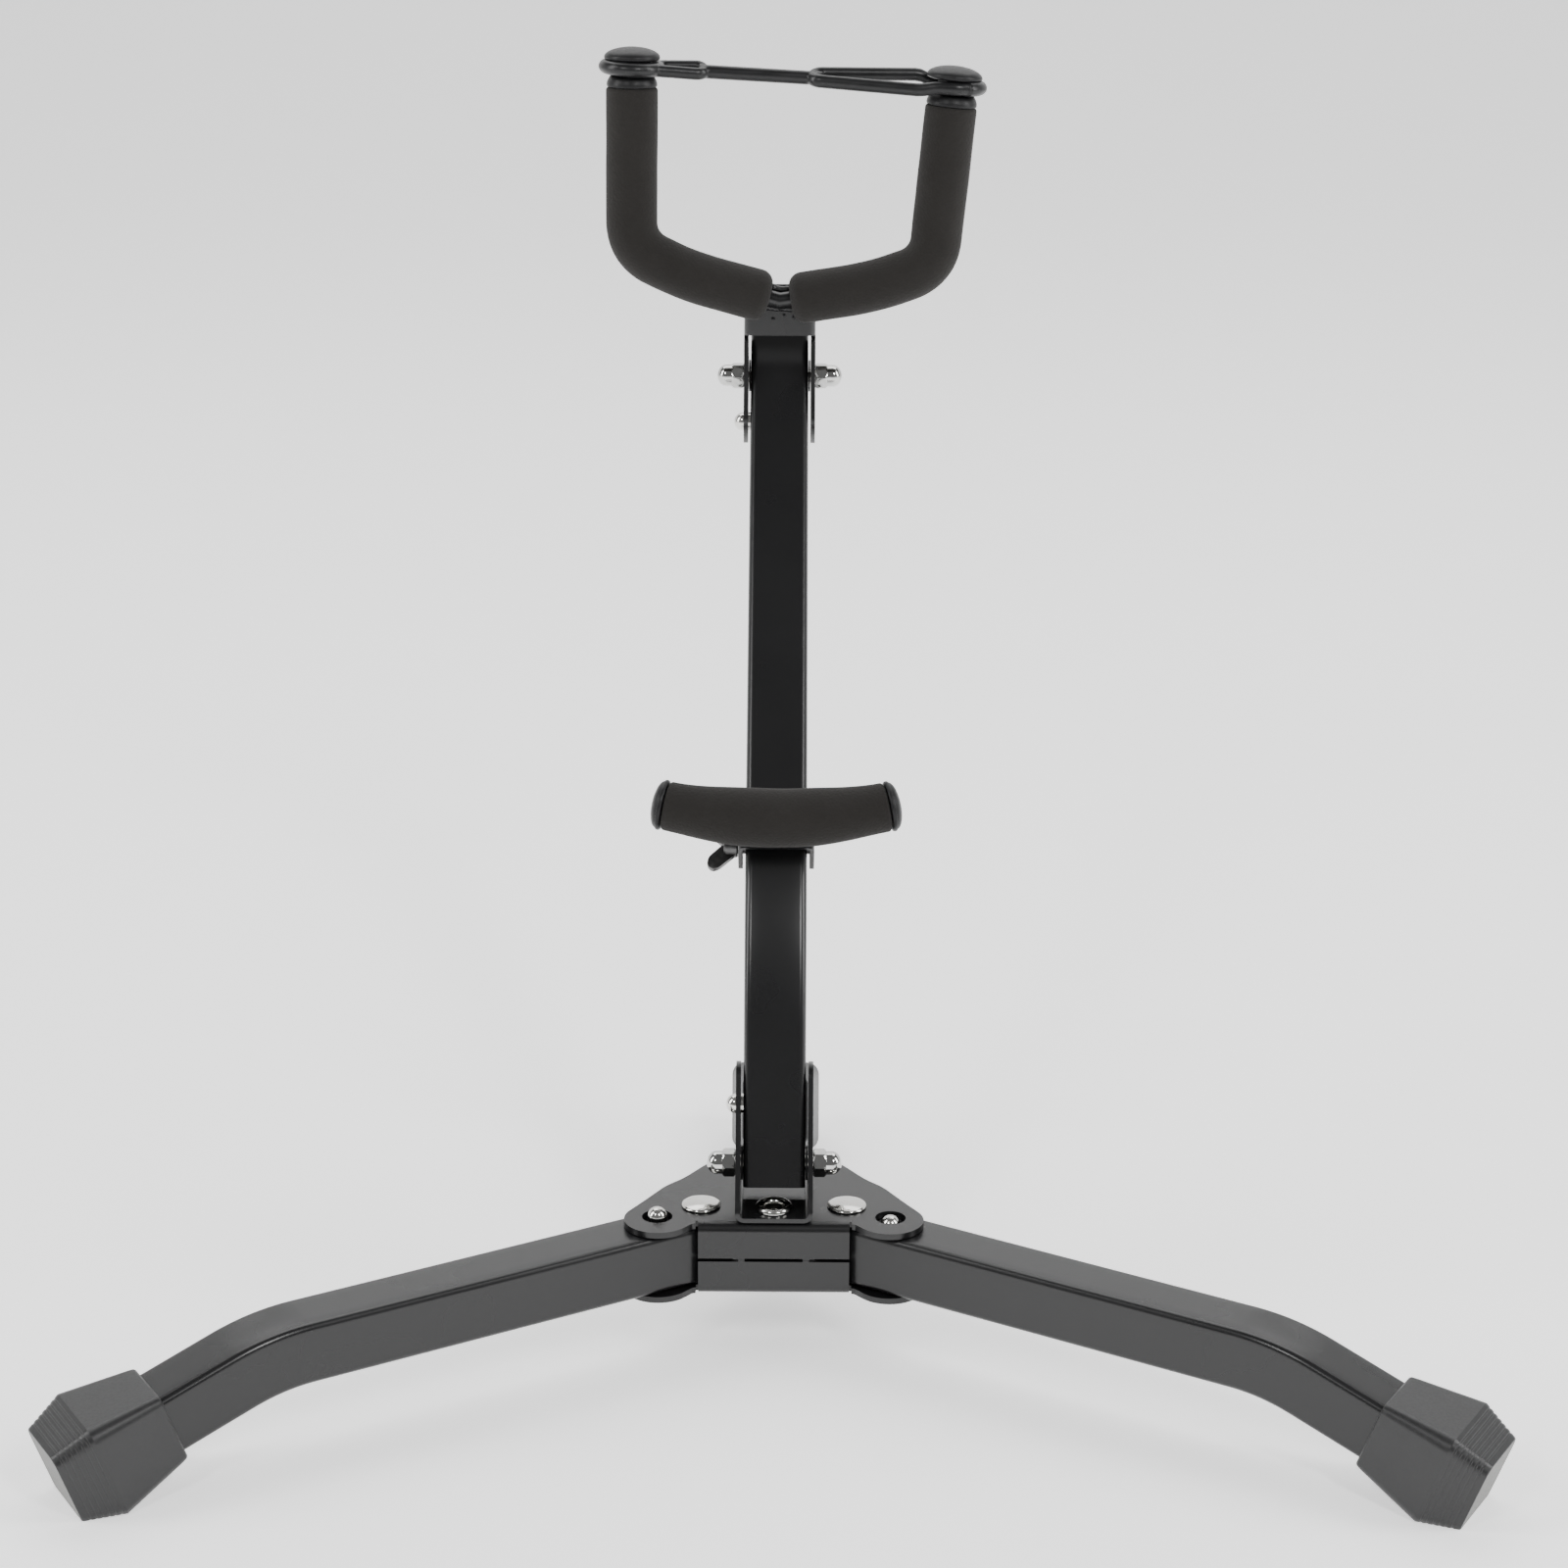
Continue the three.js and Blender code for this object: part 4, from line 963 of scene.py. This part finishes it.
def cradle_foam():
    """The sleeve, fattest in its middle."""
    line = [cradle_place(CRADLE_FOAM_END * (2 * i / 24 - 1)) for i in range(25)]
    path, inset, places, full = sleeve_ends(line, 44, 1.0, 1.0)
    frames = path_frames(path, Vector((0, 1, 0)))

    def radius_at(i):
        middle = 1 - abs(2 * places[i] / full - 1)
        swell = CRADLE_FOAM_SWELL * (0.5 - 0.5 * math.cos(math.pi * min(middle * 1.25, 1)))
        return max(CRADLE_FOAM_RADIUS + swell - inset[i], SLEEVE_BORE)

    spin = CRADLE_SPIN.to_3x3()
    placed = [(CRADLE_SPIN @ p, spin @ a, spin @ u) for p, a, u in frames]
    foam_sleeve("cradle_sleeve", "cradle_foam", "cradle", placed, radius_at, lambda centre, p: p)


# Soft moulded rubber: nearly matt, darker than the feet, with a fine even grain.
cap_rubber = patterned("cap_rubber_black", ("#131314", "#1A1A1B"), (8, 3), (0.36, 0.46),
                       fine=(0.7, 2), bump=(0.15, 0.12), rough_by="fine", Specular_IOR_Level=0.25)


PLUG_RIM = [(AXIS, 0.3), (7.6, 0.3), (8.0, 0.45), (8.25, 0.9), (8.25, 1.4), (8.0, 1.75), (7.75, 1.8)]
PLUG_DOME = (7.7, 2.6)
PLUG_DOME_FROM = 1.85


def cradle_plug(side, sign):
    """A plug with a rounded rim and a low dome, pushed on the bar's end."""
    slope = math.atan(2 * CRADLE_RISE * CRADLE_FOAM_END / CRADLE_HALF ** 2)
    radius, height = PLUG_DOME
    dome = [(radius * math.cos(t), PLUG_DOME_FROM + height * math.sin(t))
            for t in [math.pi / 2 * i / 10 for i in range(1, 10)]]
    verts, faces = turned(PLUG_RIM + dome + [(AXIS, PLUG_DOME_FROM + height)])
    at = (CRADLE_SPIN @ Matrix.Translation(cradle_place(sign * CRADLE_FOAM_END))
          @ Matrix.Rotation(-sign * slope, 4, "Y") @ Matrix.Rotation(sign * math.pi / 2, 4, "Y"))
    make_piece(f"cradle_plug_{side}", [at @ v for v in verts], faces, cap_rubber, "cradle",
               f"cradle_cap_{side}", 40)


cradle_foam()
for side, sign in (("left", -1), ("right", 1)):
    cradle_plug(side, sign)
for node in ("cradle_arm", "cradle_bar"):
    coat_node(node, powder_coat)


# Cast zinc under a thin plate: greyer and softer than the chromed nuts.
cast_zinc = patterned("cast_zinc_grey", ("#4E4E4E", "#6A6A6A"), (1.2, 3), (0.3, 0.45), bump=(0.2, 0.15),
                      Metallic=1.0)


WING = [(0.8, 0), (5, 0), (9.6, 4.4), (10.0, 7.2), (8.4, 8.8), (6.2, 8.2), (0.8, 3.4)]
WING_THICK = 2.2
WING_EDGE = 0.7


def wing_screw():
    """Shank, boss and two flat ears in one casting."""
    start = BRACKET_HALF + 0.2
    shank = [(AXIS, -BRACKET_HALF), (STUD - 0.4, -BRACKET_HALF), (STUD, -BRACKET_HALF + 0.6), (STUD, start)]
    boss = [(3.4, start), (3.7, start + 0.4), (3.6, start + 3.6), (3.0, start + 4.6), (AXIS, start + 4.7)]
    verts, faces = turned(shank + boss, sides=32, roll=Matrix.Rotation(-math.pi / 2, 4, "Y"))
    shell = bmesh.new()
    add_skin(shell, [CRADLE_SPIN @ v for v in verts], faces)
    ear = [Vector((-p.x, p.y)) for p in reversed(eased(WING, 1.2))]
    for turn in (0, math.pi):
        blade = sheet_blank(ear, [], WING_THICK, WING_EDGE)
        blade.transform(CRADLE_SPIN @ Matrix.Rotation(turn, 4, "X") @ Matrix.Translation((-start, 0, 0))
                        @ Matrix.Rotation(math.pi / 2, 4, "X"))
        part = mesh_of("ear", blade)
        shell.from_mesh(part)
        bpy.data.meshes.remove(part)
    shell.transform(Matrix.Scale(MM, 4))
    finish_piece("wing_screw", mesh_of("wing_screw", shell), cast_zinc, "wing_screw", "cradle_wing_screw")


wing_screw()


# ---- Yoke ----
# A 6 mm rod bent into a wide U and welded across the saddle's web, with a foam sleeve and a rubber cap on
# each arm.
ROD = 3.0
YOKE_RISE = 29.5
YOKE_ROLL = math.radians(3)
YOKE_ROUTE = [(0, -0.6), (31, 5.9), (51.8, 14.5), (54.6, 82)]
YOKE_CORNERS = [100, 14]
FOAM_RADIUS = 8.8
FOAM_FROM = 3.7
FOAM_TOP = 69.0
FOAM_NEAR_WEB = 14.0
BEAD_ROWS = (-3.4, 3.2)
BEAD_STEP = 1.6
BEAD = 1.5
SPATTER = [(5.5, -6.5, 0.9), (-2.0, -7.4, 0.7), (8.2, -8.0, 0.8), (1.8, -6.0, 0.6)]
ROD_Y = -YOKE_FORWARD - BRACKET_SHEET - ROD - 0.4
YOKE_SPIN = (Matrix.Translation(HIGH_HINGE + Vector((0, ROD_Y, YOKE_RISE)))
             @ Matrix.Rotation(YOKE_ROLL, 4, "Y"))


def yoke_side(steps=12):
    """The rod's right half in the rod's own frame, from the middle to the top, corners rounded."""
    corners = [Vector((x, 0, z)) for x, z in YOKE_ROUTE]
    out = [corners[0]]
    for i, radius in zip((1, 2), YOKE_CORNERS):
        c = corners[i]
        a, b = (corners[i - 1] - c).normalized(), (corners[i + 1] - c).normalized()
        half = math.acos(a.dot(b)) / 2
        start, end = c + a * radius / math.tan(half), c + b * radius / math.tan(half)
        centre = c + (a + b).normalized() * radius / math.sin(half)
        for k in range(steps + 1):
            spoke = start.lerp(end, k / steps) - centre
            out.append(centre + spoke.normalized() * radius)
    return out + [corners[-1]]


def clipped(path, start_x, top_z):
    """The stretch of the right half between a distance from the middle and a height."""
    low = path[0].lerp(path[1], (start_x - path[0].x) / (path[1].x - path[0].x))
    high = path[-2].lerp(path[-1], (top_z - path[-2].z) / (path[-1].z - path[-2].z))
    return [low, *path[1:-1], high]


def yoke_rod():
    right = clipped(yoke_side(), 0, FOAM_TOP + 8)
    left = [Vector((-p.x, p.y, p.z)) for p in reversed(right[1:])]
    rings = [[YOKE_SPIN @ (point + (across * math.cos(t) + up * math.sin(t)) * ROD) for t in full_turn(24)]
             for point, across, up in path_frames(left + right, Vector((0, -1, 0)))]
    verts, faces = loft_rings(rings)
    make_piece("yoke_bar", verts, faces, powder_coat, "yoke", "yoke_rod", 50)


def weld_beads():
    """Fillet welds under and over the rod where it crosses the web, with spatter round them."""
    shell = bmesh.new()
    beads = [(-9 + BEAD_STEP * i, z, BEAD) for z in BEAD_ROWS for i in range(12)]
    for k, (x, z, size) in enumerate(beads + SPATTER):
        wobble = noise.noise(Vector((k * 3.1, 0, 7)))
        place = Vector((x, ROD + 0.2 - 0.9 * size / BEAD, z + 0.5 * wobble))
        squeeze = Matrix.Diagonal((1.1, 0.9, 0.85 + 0.2 * wobble, 1))
        bmesh.ops.create_icosphere(shell, subdivisions=3, radius=size,
                                   matrix=YOKE_SPIN @ Matrix.Translation(place) @ squeeze)
    shell.transform(Matrix.Scale(MM, 4))
    mesh = mesh_of("yoke_welds", shell)
    melt(finish_piece("yoke_welds", mesh, powder_coat, "yoke", None, 60), 0.35)


def melt(piece, voxel):
    """Fuses overlapping lumps into one skin and relaxes it, as molten or moulded stuff would set."""
    piece.modifiers.clear()
    fuse = piece.modifiers.new("fuse", "REMESH")
    fuse.mode = "VOXEL"
    fuse.voxel_size = voxel * MM
    fuse.use_smooth_shade = True
    relax = piece.modifiers.new("relax", "SMOOTH")
    relax.iterations = 2
    relax.factor = 0.5
    bpy.context.view_layer.update()
    graph = bpy.context.evaluated_depsgraph_get()
    fused = bpy.data.meshes.new_from_object(piece.evaluated_get(graph))
    material = piece.data.materials[0]
    piece.modifiers.clear()
    piece.data = fused
    piece.data.materials.clear()
    piece.data.materials.append(material)
    piece.data.shade_smooth()


def yoke_foam(side, sign):
    """One arm's sleeve, flattened where the web stands behind it."""
    route = [Vector((sign * p.x, p.y, p.z)) for p in clipped(yoke_side(), FOAM_FROM, FOAM_TOP)]
    path, inset, _, _ = sleeve_ends(route, 90, 4.6, 1.2)
    frames = path_frames(path, Vector((0, -sign, 0)))
    spin = YOKE_SPIN.to_3x3()
    room = ROD + 0.12

    def press(centre, p):
        local = YOKE_SPIN.inverted() @ p
        near = min(max((BRACKET_HALF + 3.6 - abs(local.x)) / 2.6, 0), 1)
        limit = room + (FOAM_RADIUS - room) * (1 - near) ** 2
        if local.y > limit and local.z < FOAM_NEAR_WEB:
            local.y = limit
        return YOKE_SPIN @ local

    placed = [(YOKE_SPIN @ p, spin @ a, spin @ u) for p, a, u in frames]
    foam_sleeve(f"yoke_sleeve_{side}", f"yoke_foam_{side}", "yoke", placed,
                lambda i: max(FOAM_RADIUS - inset[i], SLEEVE_BORE), press)


CAP_COLLAR = 8.6
CAP_NECK = 5.4
CAP_DOME = 9.5
CAP_COLLAR_HEIGHT = 4.0
CAP_NECK_HEIGHT = 4.9
CAP_DOME_HEIGHT = 4.4
CAP_RIM = 0.9


def arm_place(z):
    """How far out the right arm stands at a height."""
    (x0, z0), (x1, z1) = YOKE_ROUTE[2:]
    return x0 + (x1 - x0) * (z - z0) / (z1 - z0)


ARM_LEAN = math.atan2(YOKE_ROUTE[3][0] - YOKE_ROUTE[2][0], YOKE_ROUTE[3][1] - YOKE_ROUTE[2][1])


def yoke_cap(side, sign):
    """A collar on the sleeve's end, a neck for the strap, and a mushroom head with a rolled rim."""
    neck_from, neck_to = CAP_COLLAR_HEIGHT, CAP_COLLAR_HEIGHT + CAP_NECK_HEIGHT
    collar = [(AXIS, 0.05), (CAP_COLLAR - 0.5, 0.05), (CAP_COLLAR - 0.1, 0.3), (CAP_COLLAR, 0.8),
              (CAP_COLLAR - 0.1, 1.6), (CAP_COLLAR - 0.5, 2.6), (CAP_COLLAR - 1.1, 3.5),
              (CAP_COLLAR - 1.8, neck_from)]
    neck = [(CAP_NECK + 0.4, neck_from), (CAP_NECK, neck_from + 0.4), (CAP_NECK, neck_to - 0.3),
            (CAP_NECK + 0.4, neck_to)]
    head = [(CAP_DOME - 0.9, neck_to), (CAP_DOME - 0.3, neck_to + 0.25), (CAP_DOME, neck_to + 0.8)]
    crown = [(CAP_DOME * math.cos(t), neck_to + CAP_RIM + (CAP_DOME_HEIGHT - CAP_RIM) * math.sin(t))
             for t in [math.pi / 2 * i / 12 for i in range(1, 12)]]
    verts, faces = turned(collar + neck + head + crown + [(AXIS, neck_to + CAP_DOME_HEIGHT)])
    at = (YOKE_SPIN @ Matrix.Translation((sign * arm_place(FOAM_TOP), 0, FOAM_TOP))
          @ Matrix.Rotation(sign * ARM_LEAN, 4, "Y"))
    make_piece(f"yoke_cap_{side}_rubber", [at @ v for v in verts], faces, cap_rubber, "yoke",
               f"yoke_cap_{side}", 40)


yoke_rod()
weld_beads()
for side, sign in (("left", -1), ("right", 1)):
    yoke_foam(side, sign)
    yoke_cap(side, sign)


# ---- Strap ----
# One rubber moulding stretched between the caps: a ring round the left neck, a finger loop, a cord, and a
# long open loop slipped over the right cap.
STRAP_HALF = 2.55
STRAP_RING = 11.3
STRAP_TAB = 25.5
STRAP_LOOP_FROM = 8.0
STRAP_CORD = (2.2, 2.35)


# Smooth injection-moulded rubber, glossier than the caps, faintly streaked along its pull.
strap_rubber = patterned("strap_rubber_black", ("#131314", "#1A1A1B"), (1.5, 3, (0.15, 1, 1)), (0.28, 0.38),
                         bump=(0.08, 0.1), Specular_IOR_Level=0.35)


def loop_outline(x0, x1, r0, r1, steps=28):
    """A taut line round two circles on the X axis."""
    tilt = math.degrees(math.asin((r1 - r0) / abs(x1 - x0)))
    out = arc((x1, 0), r1, -90 - tilt, 90 + tilt, steps)
    return out + arc((x0, 0), r0, 90 + tilt, 270 - tilt, steps)


def ramp(value, start, end):
    """A smooth step from 0 at start to 1 at end."""
    t = min(max((value - start) / (end - start), 0), 1)
    return t * t * (3 - 2 * t)


def strap_strand(shell, outline, z, wide, tall, closed=True, lift=None):
    """A rounded strand along a line, wide in plan and tall in height; lift raises it from level."""
    points = [Vector((p[0], p[1], z + (lift(p[0], p[1]) if lift else 0))) for p in outline]
    count = len(points)
    rings = []
    for i, point in enumerate(points):
        ahead = points[(i + 1) % count] if closed or i < count - 1 else point
        behind = points[i - 1] if closed or i else point
        side = Vector((0, 0, 1)).cross((ahead - behind).normalized())
        rings.append([point + side * wide * math.cos(t) + Vector((0, 0, 1)) * tall * math.sin(t)
                      for t in full_turn(20)])
    add_skin(shell, *loft_rings(rings, closed))


def yoke_strap():
    """All strands laid level between the necks, then fused; each loop's rear strand rides up a little."""
    z = FOAM_TOP + CAP_COLLAR_HEIGHT + CAP_NECK_HEIGHT / 2
    reach = arm_place(z)
    shell = bmesh.new()
    ring_mid = (STRAP_RING + CAP_NECK) / 2
    ring_half = (STRAP_RING - CAP_NECK) / 2 + 0.1
    strap_strand(shell, arc((-reach, 0), ring_mid, 0, 352.5, 47), z, ring_half, STRAP_HALF)

    def tab_lift(x, y):
        return (0.42 if y > 0 else 0.2) * y * ramp(x, -reach + 5.5, -reach + 11.5)

    def loop_lift(x, y):
        return (0.36 if y > 0 else 0.16) * y * (1 - ramp(x, reach - 12.5, reach - 5))

    tab = loop_outline(-reach + 6, -reach + STRAP_TAB - 4, 5.2, 3.0)
    strap_strand(shell, tab, z, 1.8, 2.1, lift=tab_lift)
    cord_from = -reach + STRAP_TAB - 3
    cord = [(cord_from + (STRAP_LOOP_FROM + 5 + reach - STRAP_TAB) * i / 20, 0) for i in range(21)]
    strap_strand(shell, cord, z, *STRAP_CORD, closed=False)
    long_loop = []
    line = loop_outline(STRAP_LOOP_FROM + 2, reach, 3.6, ring_mid)
    for a, b in zip(line, line[1:] + line[:1]):
        pieces = max(1, round((b - a).length / 2))
        long_loop += [a.lerp(b, k / pieces) for k in range(pieces)]
    strap_strand(shell, long_loop, z, 1.9, 2.25, lift=loop_lift)
    strap_strand(shell, arc((reach, 0), ring_mid, -60, 60, 30), z, ring_half, STRAP_HALF, closed=False)
    shell.transform(YOKE_SPIN)
    shell.transform(Matrix.Scale(MM, 4))
    mesh = mesh_of("yoke_strap_rubber", shell)
    melt(finish_piece("yoke_strap_rubber", mesh, strap_rubber, "yoke", "yoke_strap", 60), 0.4)


yoke_strap()


# ---- Studio ----
# A pale floor that curves up into a backdrop far behind, a dim even room, and soft boxes above and at both
# sides. Places are in metres.
FLOOR_GREY = "#F4F4F4"
FLOOR_GLOW = 0.8
SWEEP_FROM = 2.2
SWEEP_RADIUS = 1.4
SWEEP_HEIGHT = 4.0
SWEEP_HALF_WIDTH = 12.0
SWEEP_FLAT = (-14.0, -3.0, -1.0, 1.0)
SWEEP_STEPS = 24
ROOM_LIGHT = 0.2
SOFT_BOXES = (
    ("overhead", (0, 1.0, 1.9), (0, 0.3, 0), (2.2, 1.2), 26),
    ("left_side", (-1.6, -0.3, 1.0), (0, 0, 0.15), (0.5, 1.5), 20),
    ("right_side", (1.6, -0.3, 1.0), (0, 0, 0.15), (0.5, 1.5), 22),
    ("left_strip", (-0.75, -1.3, 1.36), (0, 0, 0.15), (0.2, 0.5), 8),
    ("right_strip", (0.75, -1.3, 1.36), (0, 0, 0.15), (0.2, 0.5), 13),
)
CAMERA_FOCAL = 76.5
CAMERA_PITCH = math.radians(17.95)
CAMERA_ROLL = math.radians(0.35)
CAMERA_FROM_FLANGE = Vector((2.4, -967.0, 507.0))


def floor_material():
    """Matt white sweep paper lit through from behind, with the faintest mottling."""
    material, tree, place, surface = new_material("white_sweep_paper")
    mottle = grain(tree, place, 60, 3)
    coloured(tree, surface, mottle, FLOOR_GREY, "#F8F8F8")
    set_surface(surface, Roughness=0.9, Emission_Color=linear(FLOOR_GREY), Emission_Strength=FLOOR_GLOW)
    return material


def studio_floor():
    profile = [(y, 0.0) for y in SWEEP_FLAT]
    for i in range(SWEEP_STEPS + 1):
        turn = math.pi / 2 * i / SWEEP_STEPS
        profile.append((SWEEP_FROM + SWEEP_RADIUS * math.sin(turn), SWEEP_RADIUS * (1 - math.cos(turn))))
    profile.append((SWEEP_FROM + SWEEP_RADIUS, SWEEP_HEIGHT))
    verts = [Vector((x, y, z)) for y, z in profile for x in (-SWEEP_HALF_WIDTH, SWEEP_HALF_WIDTH)]
    faces = [(2 * i, 2 * i + 1, 2 * i + 3, 2 * i + 2) for i in range(len(profile) - 1)]
    mesh = bpy.data.meshes.new("sweep")
    mesh.from_pydata(verts, [], faces)
    mesh.shade_smooth()
    mesh.materials.append(floor_material())
    floor = bpy.data.objects.new("sweep", mesh)
    bpy.context.scene.collection.objects.link(floor)


def soft_box(name, place, target, size, power):
    """A rectangular area light at a place, turned to its target."""
    light = bpy.data.lights.new(name, "AREA")
    light.shape = "RECTANGLE"
    light.size, light.size_y = size
    light.energy = power
    lamp = bpy.data.objects.new(name, light)
    lamp.location = place
    lamp.rotation_euler = (Vector(target) - Vector(place)).to_track_quat("-Z", "Y").to_euler()
    bpy.context.scene.collection.objects.link(lamp)


studio_floor()
for box in SOFT_BOXES:
    soft_box(*box)
world = bpy.data.worlds.new("studio_room")
world.use_nodes = True
backdrop = world.node_tree.nodes["Background"]
backdrop.inputs["Color"].default_value = (1, 1, 1, 1)
backdrop.inputs["Strength"].default_value = ROOM_LIGHT
bpy.context.scene.world = world

lens = bpy.data.cameras.new("camera")
lens.lens = CAMERA_FOCAL
lens.sensor_width = 36.0
lens.clip_end = 50
camera = bpy.data.objects.new("camera", lens)
camera.location = (CAMERA_FROM_FLANGE + Vector((0, FLANGE_Y, 0))) * MM
level = Matrix.Rotation(math.pi / 2 - CAMERA_PITCH, 3, "X") @ Matrix.Rotation(CAMERA_ROLL, 3, "Z")
camera.rotation_euler = level.to_euler()
bpy.context.scene.collection.objects.link(camera)
bpy.context.scene.camera = camera
